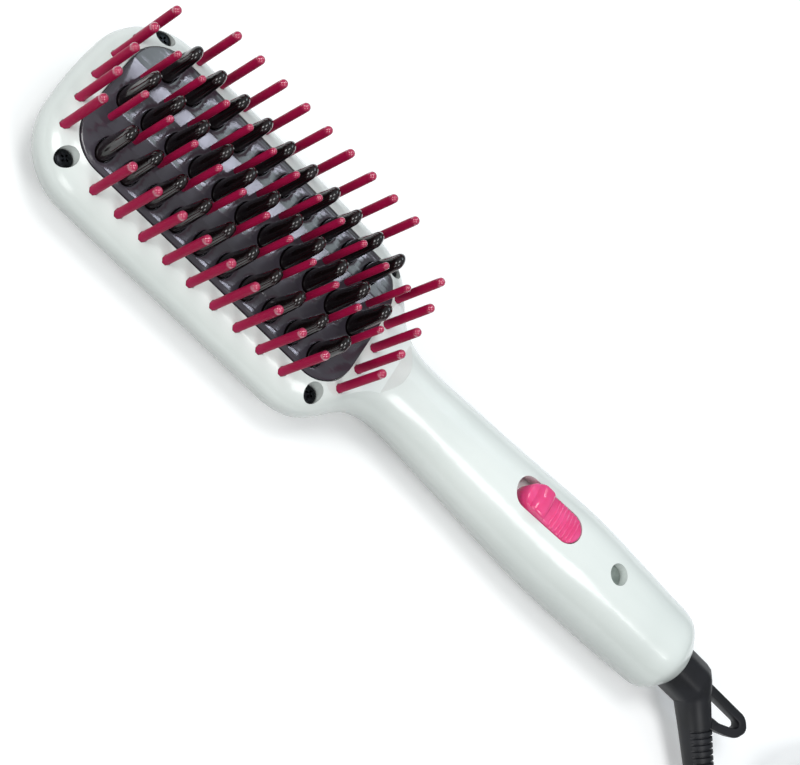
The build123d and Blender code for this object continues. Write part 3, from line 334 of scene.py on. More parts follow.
def pin_tip_nylon():
    """The same nylon, fire-polished into a ball at the tip: glossy, with sharp lamp spots, and a paler colour
    that is a painted highlight.
    """
    material, tree, shader, place = finish_of(
        "pink_nylon_polished_painted_highlight", IOR=1.53, roughness=0.08, coat_weight=1.0, coat_roughness=0.03,
        subsurface_weight=0.3, subsurface_scale=0.002)
    shader.inputs["Subsurface Radius"].default_value = (1.0, 0.3, 0.4)
    # Painted highlight: the tip's colour is paler than the shaft's to stand in for the lit tip
    colour = between(tree, noise(tree, place, 1.5 * MM), "#A81E4A", "#B82C58")
    tree.links.new(colour, shader.inputs["Base Color"])
    relief(tree, shader, noise(tree, place, 1.5 * MM), 0.005 * MM)
    return material


def tine_nylon():
    """Black glass-filled nylon from a polished mould: wet gloss, a little brown where it is thin."""
    material, tree, shader, place = finish_of(
        "black_nylon_polished", IOR=1.53, roughness=0.16, specular_ior_level=0.3,
        coat_weight=0.5, coat_roughness=0.06)
    colour = between(tree, noise(tree, place, 3 * MM), "#0E090A", "#1B1213")
    tree.links.new(colour, shader.inputs["Base Color"])
    relief(tree, shader, noise(tree, place, 3 * MM), 0.01 * MM)
    return material


def cover_resin():
    """Dark heat-resistant polymer from a polished mould: it mirrors the lamps, with the faintest waviness."""
    material, tree, shader, place = finish_of("charcoal_pps_polished", IOR=1.6, roughness=0.15)
    colour = between(tree, noise(tree, place, 18 * MM), "#37333A", "#423D46")
    tree.links.new(colour, shader.inputs["Base Color"])
    tree.links.new(spread(tree, noise(tree, place, 4 * MM), 0.13, 0.17), shader.inputs["Roughness"])
    relief(tree, shader, noise(tree, place, 9 * MM), 0.001 * MM)
    return material


def knob_san():
    """Hot pink translucent SAN, moulded: wet gloss over a colour that glows at thin edges."""
    material, tree, shader, place = finish_of(
        "pink_san_moulded", IOR=1.57, roughness=0.14, subsurface_weight=0.35, subsurface_scale=0.003)
    shader.inputs["Subsurface Radius"].default_value = (1.0, 0.3, 0.45)
    colour = between(tree, noise(tree, place, 6 * MM), "#DF3A78", "#EC5590")
    tree.links.new(colour, shader.inputs["Base Color"])
    relief(tree, shader, noise(tree, place, 1.0 * MM), 0.01 * MM)
    return material


def soft_touch_tpe():
    """Charcoal thermoplastic rubber from an etched mould: matte, with a broad dull sheen."""
    material, tree, shader, place = finish_of(
        "charcoal_tpe_matte", IOR=1.5, roughness=0.45, specular_ior_level=0.35)
    colour = between(tree, noise(tree, place, 8 * MM), "#101114", "#191A1F")
    tree.links.new(colour, shader.inputs["Base Color"])
    # The etch is about 0.1 mm in fact, and is drawn at 0.4 mm so that it shows
    relief(tree, shader, noise(tree, place, 0.4 * MM), 0.01 * MM)
    return material


def cord_pvc():
    """Black PVC sheath, extruded: satin, with faint drawing marks."""
    material, tree, shader, place = finish_of("black_pvc_extruded", IOR=1.53, roughness=0.42)
    colour = between(tree, noise(tree, place, 5 * MM), "#17181A", "#222327")
    tree.links.new(colour, shader.inputs["Base Color"])
    relief(tree, shader, noise(tree, place, 0.8 * MM), 0.02 * MM)
    return material


def lens_polycarbonate():
    """Smoked polycarbonate lens: grey-green, glossy, dark because nothing is lit behind it."""
    material, tree, shader, place = finish_of("smoke_polycarbonate_lens", IOR=1.58, roughness=0.18)
    colour = between(tree, noise(tree, place, 3 * MM), "#6C7671", "#8E9892")
    tree.links.new(colour, shader.inputs["Base Color"])
    relief(tree, shader, noise(tree, place, 0.8 * MM), 0.01 * MM)
    return material


def moulded(name, first, last, roughness, grain):
    """Any other moulded plastic, by its two shades and the size of its grain in metres."""
    material, tree, shader, place = finish_of(name, IOR=1.53, roughness=roughness)
    colour = between(tree, noise(tree, place, SHADE_GRAINS * grain), first, last)
    tree.links.new(colour, shader.inputs["Base Color"])
    relief(tree, shader, noise(tree, place, grain), GRAIN_DEPTH * grain)
    return material


def metal(name, first, last, roughness, grain, across=(1, 1, 1)):
    """A metal with its brushing or plating, whose grain may be drawn out along an axis."""
    material, tree, shader, place = finish_of(name, metallic=1.0, roughness=roughness)
    drawn = add(tree, "ShaderNodeMapping", {"Vector": place, "Scale": across}).outputs["Vector"]
    pattern = noise(tree, drawn, grain, detail=4.0)
    tree.links.new(between(tree, pattern, first, last), shader.inputs["Base Color"])
    gloss = spread(tree, pattern, roughness + METAL_GLOSS[0], roughness + METAL_GLOSS[1])
    tree.links.new(gloss, shader.inputs["Roughness"])
    relief(tree, shader, pattern, GRAIN_DEPTH * grain)
    return material


def piece(name, bm, finishes, body, stands_for=(), sharp=35):
    """A finished piece from a bmesh, smooth but for edges sharper than so many degrees."""
    bmesh.ops.remove_doubles(bm, verts=bm.verts, dist=WELD)
    bmesh.ops.recalc_face_normals(bm, faces=bm.faces)
    for face in bm.faces:
        face.smooth = True
    for edge in bm.edges:
        edge.smooth = edge.calc_face_angle(0) < radians(sharp)
    mesh = bpy.data.meshes.new(name)
    bm.to_mesh(mesh)
    bm.free()
    for material in finishes if isinstance(finishes, tuple) else (finishes,):
        mesh.materials.append(material)
    obj = bpy.data.objects.new(name, mesh)
    bpy.context.scene.collection.objects.link(obj)
    if body:
        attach(obj, body)
    if stands_for:
        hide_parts(*stands_for)
    return obj


def solids_of(node):
    """Lowest and highest corner of each separate solid in a CAD node, in order of place."""
    bm = bmesh.new()
    bm.from_mesh(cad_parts[node].data)
    bmesh.ops.remove_doubles(bm, verts=bm.verts, dist=NODE_WELD)
    left = set(bm.verts)
    corners = []
    while left:
        reached = [left.pop()]
        for vert in reached:
            for edge in vert.link_edges:
                other = edge.other_vert(vert)
                if other in left:
                    left.remove(other)
                    reached.append(other)
        low = Vector([min(v.co[i] for v in reached) for i in range(3)])
        high = Vector([max(v.co[i] for v in reached) for i in range(3)])
        corners.append((low, high))
    bm.free()
    return sorted(corners, key=lambda corner: tuple(corner[0]))


def turned(bm, x, y, profile, steps):
    """Spins a profile of radius and height about an upright axis."""
    verts = [bm.verts.new((x + radius, y, z)) for radius, z in profile]
    edges = [bm.edges.new(pair) for pair in zip(verts, verts[1:])]
    bmesh.ops.spin(bm, geom=verts + edges, cent=(x, y, 0), axis=(0, 0, 1),
                   angle=2 * pi, steps=steps, use_merge=True)


def dome(radius, top, height, steps=5):
    """Upper part of a profile: a quarter oval up to its tip."""
    turns = [i * pi / 2 / steps for i in range(steps + 1)]
    return [(radius * cos(turn), top - height + height * sin(turn)) for turn in turns]


def cut(bm, place, normal):
    """New edges where a plane crosses the mesh."""
    geometry = bm.verts[:] + bm.edges[:] + bm.faces[:]
    bmesh.ops.bisect_plane(bm, geom=geometry, plane_co=place, plane_no=normal)


def verts_in(geometry):
    """The vertices in what an operator gives back."""
    return [part for part in geometry if isinstance(part, bmesh.types.BMVert)]


def join(bm, other):
    """Moves another bmesh into this one."""
    mesh = bpy.data.meshes.new("joined")
    other.to_mesh(mesh)
    other.free()
    bm.from_mesh(mesh)
    bpy.data.meshes.remove(mesh)


def place_camera():
    """The photograph's camera."""
    data = bpy.data.cameras.new("camera")
    data.lens = CAMERA_LENS
    data.sensor_width = SENSOR_WIDTH
    data.clip_start, data.clip_end = CAMERA_CLIP
    camera = bpy.data.objects.new("camera", data)
    bpy.context.scene.collection.objects.link(camera)
    back = -CAMERA_FORWARD.normalized()
    right = CAMERA_UP.cross(back).normalized()
    up = back.cross(right)
    turn = Matrix((right, up, back)).transposed().to_4x4()
    camera.matrix_world = Matrix.Translation(CAMERA_PLACE) @ turn
    bpy.context.scene.camera = camera


def cord_route():
    """Control points of the lead and the coil, up to the plug."""
    points = [Vector(p) for p in LEAD_POINTS]
    ahead = (points[-1] - points[-2]).normalized()
    left = Vector((0, 0, 1)).cross(ahead)
    here = points[-1] + ahead * COIL_END_STRAIGHT

    def turn(here, radius, ahead, left, climb=0.0, count=TURN_POINTS, angle=pi):
        """Points that a curve touches a part turn to the left between, and where that ends."""
        middle = here + left * radius
        reach = radius / cos(angle / 2 / count)
        for i in range(count):
            at = (i + 0.5) * angle / count
            lift = Vector((0, 0, climb * (1 - cos(at)) / 2))
            points.append(middle + (ahead * sin(at) - left * cos(at)) * reach + lift)
        end = middle + (ahead * sin(angle) - left * cos(angle)) * radius
        return end + Vector((0, 0, climb))

    for i in range(COIL_HALF_TURNS):
        here = turn(here, COIL_RADIUS - i * COIL_STEP, ahead, left)
        ahead, left = -ahead, -left
    inner = COIL_RADIUS - COIL_HALF_TURNS * COIL_STEP
    here = turn(here, inner, ahead, left, COIL_LAYER)
    ahead, left = -ahead, -left
    for i in range(COIL_HALF_TURNS):
        here = turn(here, inner + (i + 1) * COIL_STEP, ahead, left)
        ahead, left = -ahead, -left
    low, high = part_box("plug_body")
    outer = inner + (COIL_HALF_TURNS + 1) * COIL_STEP - COIL_CLIMB_INSET
    here = turn(here, outer, ahead, left, (low.z + high.z) / 2 - here.z)
    ahead, left = -ahead, -left
    here = turn(here, PLUG_TURN_RADIUS, ahead, left, count=TURN_POINTS // 2, angle=pi / 2)
    points.append(here + left * COIL_END_STRAIGHT)
    return points


def curve_mesh(points, radius):
    """The smooth curve through a route as a mesh: a tube, or its bare line where radius is 0."""
    data = bpy.data.curves.new("route", "CURVE")
    data.dimensions = "3D"
    data.resolution_u = ROUTE_STEPS
    data.bevel_depth = radius
    data.bevel_resolution = 3
    data.use_fill_caps = radius > 0
    spline = data.splines.new("NURBS")
    spline.points.add(len(points) - 1)
    for control, place in zip(spline.points, points):
        control.co = (*place, 1.0)
    spline.order_u = 3
    spline.use_endpoint_u = True
    obj = bpy.data.objects.new("route", data)
    mesh = bpy.data.meshes.new_from_object(obj)
    bpy.data.objects.remove(obj)
    return mesh


def cord(points, material):
    """The whole supply cord as one tube, which bends where the lead leaves the swivel."""
    line = curve_mesh(points, 0.0)
    path = [tuple(v.co) for v in line.vertices]
    tube = bmesh.new()
    tube.from_mesh(curve_mesh(points, CORD_RADIUS))
    start = Vector(LEAD_POINTS[0])
    for i in range(1, LEAD_CUTS):
        cut(tube, start + Vector((LEAD_BEND_REACH * i / LEAD_CUTS, 0, 0)), (1, 0, 0))
    obj = piece("supply_cord", tube, material, None)
    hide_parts("cord_lead", "cord_coil")
    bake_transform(obj)
    return obj, path


def pins(finishes):
    """Round pins with domed tips: the rim pins, then the two rows between the tines."""

    def polish_tips_and_paint_highlight(bm, top):
        """Gives every face near the top the second finish: the glossy tip with its painted highlight."""
        for face in bm.faces:
            if face.calc_center_median().z > top - PIN_TIP:
                face.material_index = 1

    bm = bmesh.new()
    for low, high in solids_of("rim_pins"):
        middle = (low + high) / 2
        profile = [(0.0, low.z), (PIN_RADIUS, low.z), (PIN_RADIUS, high.z - PIN_TIP)]
        turned(bm, middle.x, middle.y, profile + dome(PIN_RADIUS, high.z, PIN_DOME), PIN_STEPS)
    polish_tips_and_paint_highlight(bm, high.z)
    piece("rim_pins_round", bm, finishes, "brush", ["rim_pins"])
    bm = bmesh.new()
    for low, high in solids_of("inner_pins"):
        middle = (low + high) / 2
        rail = Vector((high.x - low.x, high.y - low.y, RAIL_HEIGHT))
        bmesh.ops.create_cube(bm, size=1.0, matrix=Matrix.LocRotScale(
            Vector((middle.x, middle.y, low.z + RAIL_HEIGHT / 2)), None, rail))
        shelf = (rail.x - (INNER_COUNT - 1) * PITCH) / 2
        foot = low.z + RAIL_HEIGHT * PIN_SEAT
        profile = [(0.0, foot), (INNER_PIN_RADIUS, foot), (INNER_PIN_RADIUS, high.z - PIN_TIP)]
        profile += dome(INNER_PIN_RADIUS, high.z, PIN_DOME)
        for i in range(INNER_COUNT):
            turned(bm, low.x + shelf + i * PITCH, middle.y, profile, PIN_STEPS)
    polish_tips_and_paint_highlight(bm, high.z)
    piece("inner_pins_round", bm, finishes, "brush", ["inner_pins"])


def tines(node, material):
    """Oval tapering tines with rounded tips."""
    bm = bmesh.new()
    foot_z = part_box("heater_cover")[1].z
    for low, high in solids_of(node):
        middle = (low + high) / 2
        neck_z = high.z - TINE_DOME
        one = bmesh.new()
        profile = [(0.0, low.z), (TINE_FOOT.x, low.z), (TINE_FOOT.x, foot_z)]
        for i in range(1, TINE_TAPER_STEPS):
            radius = TINE_FOOT.x + (TINE_NECK - TINE_FOOT.x) * i / TINE_TAPER_STEPS
            profile.append((radius, foot_z + (neck_z - foot_z) * i / TINE_TAPER_STEPS))
        profile += dome(TINE_NECK, high.z, TINE_DOME, TINE_DOME_STEPS)
        turned(one, 0, 0, profile, TINE_STEPS)
        bmesh.ops.scale(one, vec=(1, TINE_FOOT.y / TINE_FOOT.x, 1), verts=one.verts)
        bmesh.ops.translate(one, vec=(middle.x, middle.y, 0), verts=one.verts)
        join(bm, one)
    piece(node + "_oval", bm, material, "brush", [node])


def cover(material):
    """Crowned cover with a softened edge and an oval aperture round each tine."""
    low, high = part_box("heater_cover")
    middle = (low + high) / 2
    data = bpy.data.curves.new("outline", "CURVE")
    data.dimensions = "2D"
    data.fill_mode = "BOTH"
    data.extrude = (high.z - low.z) / 2 - COVER_EDGE
    data.bevel_depth = COVER_EDGE
    data.bevel_resolution = 2
    data.offset = -COVER_EDGE
    half_x = (high.x - low.x) / 2
    half_y = (high.y - low.y) / 2

    def outline(points):
        """One closed line of the flat curve: its edge, or a hole in it."""
        spline = data.splines.new("POLY")
        spline.points.add(len(points) - 1)
        for control, (x, y) in zip(spline.points, points):
            control.co = (x, y, 0, 1)
        spline.use_cyclic_u = True

    corners = []
    for quarter, (i, j) in enumerate(((1, 1), (-1, 1), (-1, -1), (1, -1))):
        for step in range(COVER_CORNER_STEPS + 1):
            turn = quarter * pi / 2 + step * pi / 2 / COVER_CORNER_STEPS
            corners.append((middle.x + i * (half_x - COVER_CORNER) + COVER_CORNER * cos(turn),
                            j * (half_y - COVER_CORNER) + COVER_CORNER * sin(turn)))
    outline(corners)
    for node in TINE_ROWS:
        for foot_low, foot_high in solids_of(node):
            centre = (foot_low + foot_high) / 2
            turns = [i * 2 * pi / TINE_STEPS for i in range(TINE_STEPS)]
            reach = TINE_FOOT + Vector((APERTURE_GAP, APERTURE_GAP))
            outline([(centre.x + reach.x * cos(t), centre.y + reach.y * sin(t)) for t in turns])
    flat = bpy.data.objects.new("outline", data)
    mesh = bpy.data.meshes.new_from_object(flat)
    bpy.data.objects.remove(flat)
    bm = bmesh.new()
    bm.from_mesh(mesh)
    bpy.data.meshes.remove(mesh)
    bmesh.ops.translate(bm, vec=(0, 0, middle.z), verts=bm.verts)
    for i in range(-COVER_CROWN_CUTS, COVER_CROWN_CUTS + 1):
        cut(bm, (0, i * half_y / (COVER_CROWN_CUTS + 0.5), 0), (0, 1, 0))
    for vert in bm.verts:
        drop = COVER_CROWN_RADIUS - sqrt(COVER_CROWN_RADIUS ** 2 - vert.co.y ** 2)
        if vert.co.z > middle.z:
            vert.co.z -= drop
    piece("heater_cover_crowned", bm, material, "brush", ["heater_cover"], sharp=20)


def screw_heads(material):
    """Tall black heads with a cross recess, as seen down the wells, on their shanks."""
    bm = bmesh.new()
    for low, high in solids_of("head_screws"):
        middle = (low + high) / 2
        radius = (high.x - low.x) / 2
        top = high.z + HEAD_RAISE
        # The dome stops two steps short of its tip, and one flat face closes it
        profile = [(0.0, low.z), (SHANK_RADIUS, low.z), (SHANK_RADIUS, high.z - HEAD_HEIGHT),
                   (radius, high.z - HEAD_HEIGHT)] + dome(radius, top, HEAD_DOME, HEAD_DOME_STEPS)[:-2]
        turned(bm, middle.x, middle.y, profile, SCREW_STEPS)
        bmesh.ops.holes_fill(bm, edges=bm.edges)
        bmesh.ops.remove_doubles(bm, verts=bm.verts, dist=WELD)

        def on_top():
            """Faces of this head's flat top."""
            return [f for f in bm.faces if f.normal.z > LEVEL
                    and (f.calc_center_median() - middle).xy.length < radius
                    and f.calc_center_median().z > top - HEAD_DOME]

        bm.normal_update()
        bmesh.ops.recalc_face_normals(bm, faces=bm.faces)
        for half in (-CROSS_LENGTH, -CROSS_WIDTH, CROSS_WIDTH, CROSS_LENGTH):
            for axis in (Vector((1, 0, 0)), Vector((0, 1, 0))):
                faces = on_top()
                edges = [e for f in faces for e in f.edges]
                verts = [v for f in faces for v in f.verts]
                geometry = list(dict.fromkeys(faces + edges + verts))
                bmesh.ops.bisect_plane(bm, geom=geometry, plane_co=middle + axis * half, plane_no=axis)
                bm.normal_update()
        cross = []
        for face in on_top():
            off = face.calc_center_median() - middle
            near, far = sorted((abs(off.x), abs(off.y)))
            if near < CROSS_WIDTH and far < CROSS_LENGTH:
                cross.append(face)
        sunk = bmesh.ops.extrude_face_region(bm, geom=cross)["geom"]
        bmesh.ops.translate(bm, vec=(0, 0, -CROSS_DEPTH), verts=verts_in(sunk))
        bmesh.ops.delete(bm, geom=[f for f in cross if f.is_valid], context="FACES_ONLY")
    piece("head_screws_black", bm, material, "brush", ["head_screws"])


def knob(finishes):
    """Slide knob: a crowned stadium with a rounded thumb ridge and fine ribs, on its white flange."""
    bm = bmesh.new()
    bmesh.ops.create_circle(bm, cap_ends=True, radius=KNOB_HALF_WIDTH, segments=KNOB_SIDES,
                            matrix=Matrix.Rotation(pi / KNOB_SIDES, 4, "Z"))
    straight = (KNOB_X1 - KNOB_X0) / 2 - KNOB_HALF_WIDTH
    middle = (KNOB_X0 + KNOB_X1) / 2
    for vert in bm.verts:
        vert.co.x += middle + (straight if vert.co.x > 0 else -straight)
    cap = bm.faces[:]
    for i in range(KNOB_EDGE_STEPS):
        bmesh.ops.inset_region(bm, faces=cap, thickness=KNOB_EDGE / KNOB_EDGE_STEPS,
                               use_boundary=True, use_even_offset=True)
    stations = [RIDGE_X + RIDGE_HALF * i / RIDGE_CUTS for i in range(-RIDGE_CUTS, RIDGE_CUTS + 1)]
    for i in range(RIB_COUNT):
        stations += [RIB_X0 + i * RIB_PITCH + RIB_HALF * j / RIB_CUTS for j in range(-RIB_CUTS, RIB_CUTS + 1)]
    for x in stations:
        cut(bm, (x, 0, 0), (1, 0, 0))
    for i in range(1, KNOB_ROWS):
        cut(bm, (0, KNOB_HALF_WIDTH * (2 * i / KNOB_ROWS - 1), 0), (0, 1, 0))
    rim = [e for e in bm.edges if e.is_boundary]
    foot = set(verts_in(bmesh.ops.extrude_edge_only(bm, edges=rim)["geom"]))

    def hump(distance, half, height):
        """Height of a rounded ridge at a distance from its middle."""
        return height * (1 - (distance / half) ** 4) if abs(distance) < half else 0.0

    for vert in bm.verts:
        if vert in foot:
            vert.co.z = KNOB_ROOT_Z
            continue
        x, y = vert.co.xy
        outward = max(abs(x - middle) - straight, 0.0)
        edge = KNOB_HALF_WIDTH - sqrt(outward ** 2 + y ** 2)
        sunk = min(max(1 - edge / KNOB_EDGE, 0.0), 1.0)
        rise = hump(x - RIDGE_X, RIDGE_HALF, RIDGE_HEIGHT)
        for i in range(RIB_COUNT):
            rise = max(rise, hump(x - RIB_X0 - i * RIB_PITCH, RIB_HALF, RIB_HEIGHT))
        share = (x - KNOB_X0) / (KNOB_X1 - KNOB_X0)
        crown = KNOB_CROWN_RADIUS - sqrt(KNOB_CROWN_RADIUS ** 2 - y ** 2)
        vert.co.z = KNOB_TOP_Z[0] + (KNOB_TOP_Z[1] - KNOB_TOP_Z[0]) * share - crown + rise
        vert.co.z -= KNOB_EDGE * (1 - sqrt(1 - sunk ** 2))
    length = KNOB_X1 - KNOB_X0 + 2 * FLANGE_BORDER.x
    size = Vector((length, 2 * (KNOB_HALF_WIDTH + FLANGE_BORDER.y), FLANGE_THICKNESS))
    flange = bmesh.ops.create_cube(bm, size=1.0, matrix=Matrix.LocRotScale(
        Vector((middle, 0, KNOB_ROOT_Z - FLANGE_THICKNESS / 2)), None, size))["verts"]
    for face in {f for v in flange for f in v.link_faces}:
        face.material_index = 1
    piece("switch_knob_ridged", bm, finishes, "switch", ["switch_knob"], sharp=50)


def fitting(material):
    """Faceted collar, elbow and boot in one, grooved on one side of the boot, and the flat hanging loop."""
    ahead = Vector((1, 0, 0))
    run = BOOT_END - ELBOW
    down = run.normalized()
    turn = ahead.rotation_difference(down).to_matrix()
    bend = ahead.angle(down)
    inner = (down - ahead * down.dot(ahead)).normalized()
    clear = COLLAR_RADIUS * tan(bend / 2)
    hinge = ELBOW + inner * COLLAR_RADIUS - ahead * clear
    right = CAMERA_UP.cross(-CAMERA_FORWARD)
    first = COLLAR_X0 - ELBOW.x
    bm = bmesh.new()
    lying = Matrix.Translation(((first + run.length) / 2, 0, 0)) @ Matrix.Rotation(pi / 2, 4, "Y")
    bmesh.ops.create_cone(bm, cap_ends=True, segments=FITTING_SIDES, radius1=1.0, radius2=1.0,
                          depth=run.length - first, matrix=lying)
    grooves = [GROOVE_START + i * GROOVE_PITCH for i in range(GROOVE_COUNT)]
    # The elbow's sections are cut a little apart on the straight cylinder, then turned about the inner hinge
    last = len(ELBOW_SECTIONS) - 1
    stations = [(2 * i - last) * ELBOW_CUT for i in range(last + 1)]
    stations += [clear + ELBOW_CUT, GROOVE_START - GROOVE_PITCH]
    for groove in grooves:
        stations += [groove, groove + GROOVE_WALL, groove + GROOVE_WIDTH - GROOVE_WALL, groove + GROOVE_WIDTH]
    for station in stations:
        cut(bm, (station, 0, 0), (1, 0, 0))
    # Each ring of the cylinder, whose radius is 1, goes to its place on the collar, the elbow or the boot
    for vert in bm.verts:
        along = vert.co.x
        side = Vector((0, vert.co.y, vert.co.z))
        flat = 2 * pi / COLLAR_FACETS
        off = (atan2(side.z, side.y) + FACET_TURN) % flat - flat / 2
        facet = min(FACET_DEPTH / cos(off), 1.0)
        share = min(max(along, 0.0) / run.length * (len(BOOT_RADII) - 1), len(BOOT_RADII) - 1.001)
        low, high = BOOT_RADII[int(share)], BOOT_RADII[int(share) + 1]
        radius = (low + (high - low) * (share % 1)) * MM
        for groove in grooves:
            if groove + GROOVE_WALL / 2 < along < groove + GROOVE_WIDTH - GROOVE_WALL / 2:
                facing = (turn @ side).dot(right)
                radius -= GROOVE_DEPTH * min(max((facing + GROOVE_FADE) / GROOVE_RUNOUT, 0.0), 1.0)
        if abs(along) < (last + 0.5) * ELBOW_CUT:
            section, radius = ELBOW_SECTIONS[round((along / ELBOW_CUT + last) / 2)]
            part = Matrix.Rotation(bend * section, 3, ahead.cross(down))
            vert.co = hinge + part @ (side * facet - inner) * radius * MM
        elif along < 0:
            vert.co = ELBOW + ahead * along + side * COLLAR_RADIUS * facet
        else:
            lean = turn @ inner * BOOT_LEAN * (1 - along / run.length)
            vert.co = ELBOW + down * along + lean + turn @ side * radius
    loop = bmesh.new()
    for x, y in LOOP_CORNERS:
        loop.verts.new((x * MM, y * MM, -LOOP_THICKNESS / 2))
    bmesh.ops.contextual_create(loop, geom=loop.verts[:])
    hole = loop.faces[:]
    bmesh.ops.inset_region(loop, faces=hole, thickness=LOOP_RIM, use_boundary=True, use_even_offset=True)
    bmesh.ops.delete(loop, geom=hole, context="FACES")
    raised = bmesh.ops.extrude_face_region(loop, geom=loop.faces[:], use_keep_orig=True)["geom"]
    bmesh.ops.translate(loop, vec=(0, 0, LOOP_THICKNESS), verts=verts_in(raised))
    bmesh.ops.recalc_face_normals(loop, faces=loop.faces)
    upright = [e for e in loop.edges if abs((e.verts[0].co - e.verts[1].co).z) > LOOP_THICKNESS / 2]
    corners = [Vector(corner) * MM for corner in LOOP_CORNERS]
    outer = [e for e in upright if min((e.verts[0].co.xy - c).length for c in corners) < CONTACT]
    inside = [e for e in upright if e not in outer]
    for edges, offset, segments in ((outer, LOOP_ROUND, 5), (inside, LOOP_HOLE_ROUND, 3)):
        bmesh.ops.bevel(loop, geom=edges, offset=offset, segments=segments, profile=0.5,
                        affect="EDGES", material=-1)
    rim = [e for e in loop.edges if e.calc_face_angle(0) > LOOP_SOFT_ANGLE]
    bmesh.ops.bevel(loop, geom=rim, offset=LOOP_SOFT, segments=2, profile=0.5, affect="EDGES", material=-1)
    far = Vector((0, -down.y, -down.z)).normalized()
    stand = Matrix((ahead, far, ahead.cross(far))).transposed().to_4x4()
    bmesh.ops.transform(loop, matrix=Matrix.Translation(ELBOW) @ stand, verts=loop.verts)
    join(bm, loop)
    piece("swivel_fitting_grooved", bm, material, "swivel", ["swivel_fitting"])


def plug_details(points, rubber):
    """Grip ribs on both flat sides of the plug at the cord's end, and the insulating sleeves on its pins."""
    axis = (points[-1] - points[-2]).normalized()
    across = Vector((0, 0, 1)).cross(axis)
    square = Matrix((axis, across, (0, 0, 1))).transposed().to_4x4()
    face = points[-1] + axis * PLUG_REACH
    low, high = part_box("plug_body")
    bm = bmesh.new()
    for i in range(GRIP_RIBS):
        for z in (low.z, high.z):
            place = face - axis * (GRIP_START + i * GRIP_PITCH)
            place.z = z
            one = Matrix.Translation(place) @ square @ Matrix.Diagonal((*GRIP_RIB, 1))
            rib = bmesh.ops.create_cube(bm, size=1.0, matrix=one)["verts"]
            edges = list(dict.fromkeys(e for v in rib for e in v.link_edges))
            bmesh.ops.bevel(bm, geom=edges, offset=GRIP_RIB[2] / 3, segments=2, profile=0.5,
                            affect="EDGES", material=-1)
    ribs = piece("plug_grip_ribs", bm, rubber, "brush")
    bm = bmesh.new()
    lying = square @ Matrix.Rotation(pi / 2, 4, "Y")
    for side in (-1, 1):
        place = face + across * side * PLUG_PIN_SPACING / 2 + axis * SLEEVE_LENGTH / 2
        bmesh.ops.create_cone(bm, cap_ends=True, segments=SLEEVE_SIDES,
                              radius1=SLEEVE_RADIUS, radius2=SLEEVE_RADIUS,
                              depth=SLEEVE_LENGTH, matrix=Matrix.Translation(place) @ lying)
    sleeves = piece("plug_pin_sleeves", bm, rubber, "brush")
    return [ribs, sleeves]


def dress_nodes(materials):
    """Gives every CAD node that stays its finish."""
    finishes = {
        "front_shell": "white", "back_shell": "white", "pin_strips": "strip",
        "heater_plate": "aluminium", "heating_elements": "ceramic", "clamp_plate": "steel",
        "insulation_sheet": "mica", "plate_screws": "steel", "thermal_fuse": "ceramic",
        "temperature_sensor": "ceramic", "circuit_board": "board", "board_screws": "steel",
        "switch_body": "switch", "switch_slider": "switch",
        "indicator_window": "lens", "indicator_lamp": "lens",
        "swivel_barrel": "fitting", "slip_rings": "brass", "contact_springs": "brass",
        "heater_wires": "wire", "supply_wires": "wire", "plug_body": "fitting", "plug_pins": "brass",
    }
    for node, finish in finishes.items():
        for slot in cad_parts[node].material_slots:
            slot.material = materials[finish]


def floor():
    """Plain pale table that shows white to the camera and keeps the shadow."""
    bpy.ops.mesh.primitive_plane_add(size=TABLE_SIZE, location=TABLE_PLACE)
    obj = bpy.context.object
    obj.name = "table"
    material = bpy.data.materials.new("pale_paper")
    material.use_nodes = True
    tree = material.node_tree
    tree.nodes.remove(tree.nodes["Principled BSDF"])
    out = tree.nodes["Material Output"]
    path = add(tree, "ShaderNodeLightPath").outputs
    seen = path["Is Camera Ray"]
    for ray in ("Is Glossy Ray", "Is Transmission Ray"):
        seen = add(tree, "ShaderNodeMath", {0: seen, 1: path[ray]}, operation="MAXIMUM").outputs[0]
    dull = add(tree, "ShaderNodeBsdfDiffuse", {"Color": linear("#6C706E")}).outputs[0]
    pale = add(tree, "ShaderNodeBsdfDiffuse", {"Color": linear("#F2F3F3")}).outputs[0]
    glow = add(tree, "ShaderNodeEmission", {"Color": linear("#FFFFFF"), "Strength": TABLE_GLOW}).outputs[0]
    white = add(tree, "ShaderNodeAddShader", {0: pale, 1: glow}).outputs[0]
    both = add(tree, "ShaderNodeMixShader", {0: seen, 1: dull, 2: white})
    tree.links.new(both.outputs[0], out.inputs["Surface"])
    obj.data.materials.append(material)


def lamp(name, place, aim, width, depth, power, colour="#FFFFFF"):
    """Soft rectangular lamp that faces a point."""
    data = bpy.data.lights.new(name, "AREA")
    data.shape = "RECTANGLE"
    data.size = width
    data.size_y = depth
    data.energy = power
    data.color = linear(colour)[:3]
    obj = bpy.data.objects.new(name, data)
    bpy.context.scene.collection.objects.link(obj)
    obj.location = place
    obj.rotation_mode = "QUATERNION"
    obj.rotation_quaternion = (Vector(aim) - Vector(place)).to_track_quat("-Z", "Y")


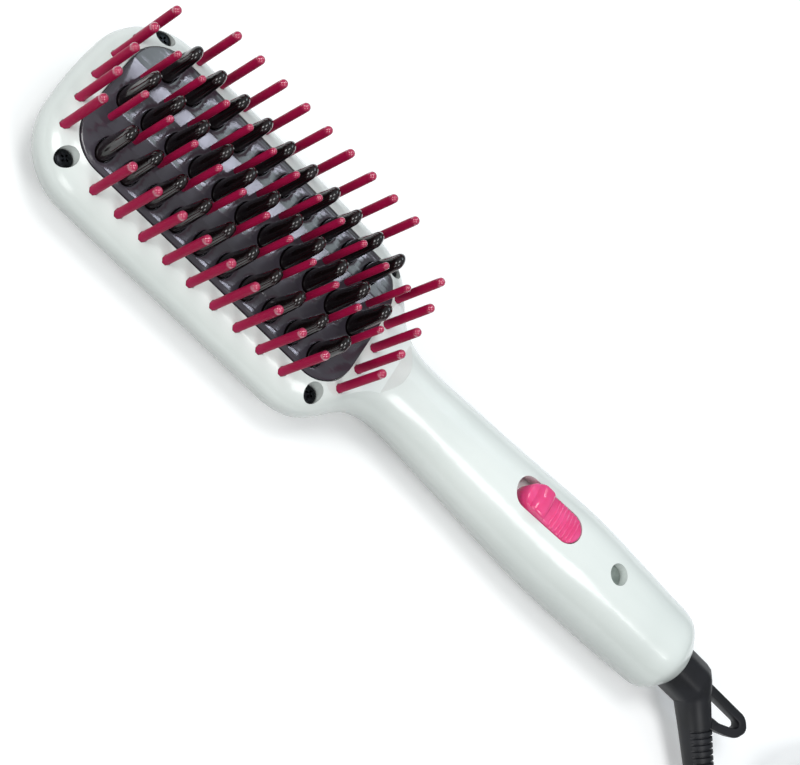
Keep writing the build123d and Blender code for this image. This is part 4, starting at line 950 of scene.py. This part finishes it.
def light():
    """Four soft lamps round the camera, a strip and a soft box behind the head, and a pale surround."""
    aim = Vector(LAMP_AIM)
    back = -CAMERA_FORWARD
    across = CAMERA_UP.cross(back) * LAMP_APART
    for i in (-1, 1):
        for j in (-1, 1):
            place = aim + back * LAMP_REACH + across * i + CAMERA_UP * LAMP_APART * j
            power = LAMP_POWER[j > 0]
            if (i, j) == (1, -1):
                place += GRIP_LAMP_SHIFT
                power = GRIP_LAMP_POWER
            lamp("lamp_%d_%d" % (i, j), place, aim, LAMP_SIDE, LAMP_SIDE, power)
    lamp("strip", STRIP_PLACE, aim, *STRIP_SIZE, STRIP_POWER, STRIP_COLOUR)
    lamp("soft_box", BOX_PLACE, aim, *BOX_SIZE, BOX_POWER, BOX_COLOUR)
    world = bpy.data.worlds.new("studio")
    bpy.context.scene.world = world
    world.use_nodes = True
    tree = world.node_tree
    sky = tree.nodes["Background"]
    sky.inputs["Color"].default_value = linear("#E8ECEF")
    height = height_of(tree, add(tree, "ShaderNodeTexCoord").outputs["Generated"])
    low, high = SURROUND
    strength = add(tree, "ShaderNodeMapRange", {"Value": height, "To Min": low, "To Max": high})
    tree.links.new(strength.outputs["Result"], sky.inputs["Strength"])


bpy.context.scene.view_settings.view_transform = "Standard"
place_camera()
floor()
light()

materials = {
    "white": polished_abs(),
    "pin": pin_nylon(),
    "pin_tip": pin_tip_nylon(),
    "tine": tine_nylon(),
    "cover": cover_resin(),
    "knob": knob_san(),
    "fitting": soft_touch_tpe(),
    "cord": cord_pvc(),
    "lens": lens_polycarbonate(),
    "strip": moulded("pink_nylon_strip", "#9E1A3D", "#B12148", 0.4, 1.0 * MM),
    "switch": moulded("black_pbt_moulded", "#141416", "#1F1F22", 0.5, 0.6 * MM),
    "board": moulded("green_fr4_board", "#1F5A3A", "#2A6B46", 0.45, 0.8 * MM),
    "ceramic": moulded("white_alumina_fired", "#E3DED2", "#EFEBE2", 0.6, 0.5 * MM),
    "mica": moulded("brown_mica_sheet", "#8A6E4C", "#A88A63", 0.4, 2.0 * MM),
    "wire": moulded("white_silicone_wire", "#D8D8D4", "#E6E6E3", 0.5, 1.0 * MM),
    "aluminium": metal("aluminium_rolled", "#B9BBBE", "#CDCFD1", 0.32, 1.0 * MM, (0.1, 1, 1)),
    "steel": metal("steel_zinc_plated", "#A9ACB0", "#C0C3C6", 0.3, 0.8 * MM),
    "black_steel": metal("steel_black_oxide", "#17181A", "#2A2C2F", 0.32, 0.6 * MM),
    "brass": metal("brass_nickel_plated", "#C4BDAE", "#D8D2C6", 0.22, 0.8 * MM),
}
dress_nodes(materials)
route = cord_route()
supply_cord, cord_path = cord(route, materials["cord"])
pins((materials["pin"], materials["pin_tip"]))
for tine_row in TINE_ROWS:
    tines(tine_row, materials["tine"])
cover(materials["cover"])
screw_heads(materials["black_steel"])
knob((materials["knob"], materials["white"]))
fitting(materials["fitting"])
plug = [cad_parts["plug_body"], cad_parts["plug_pins"]]
plug += plug_details(route, materials["fitting"])
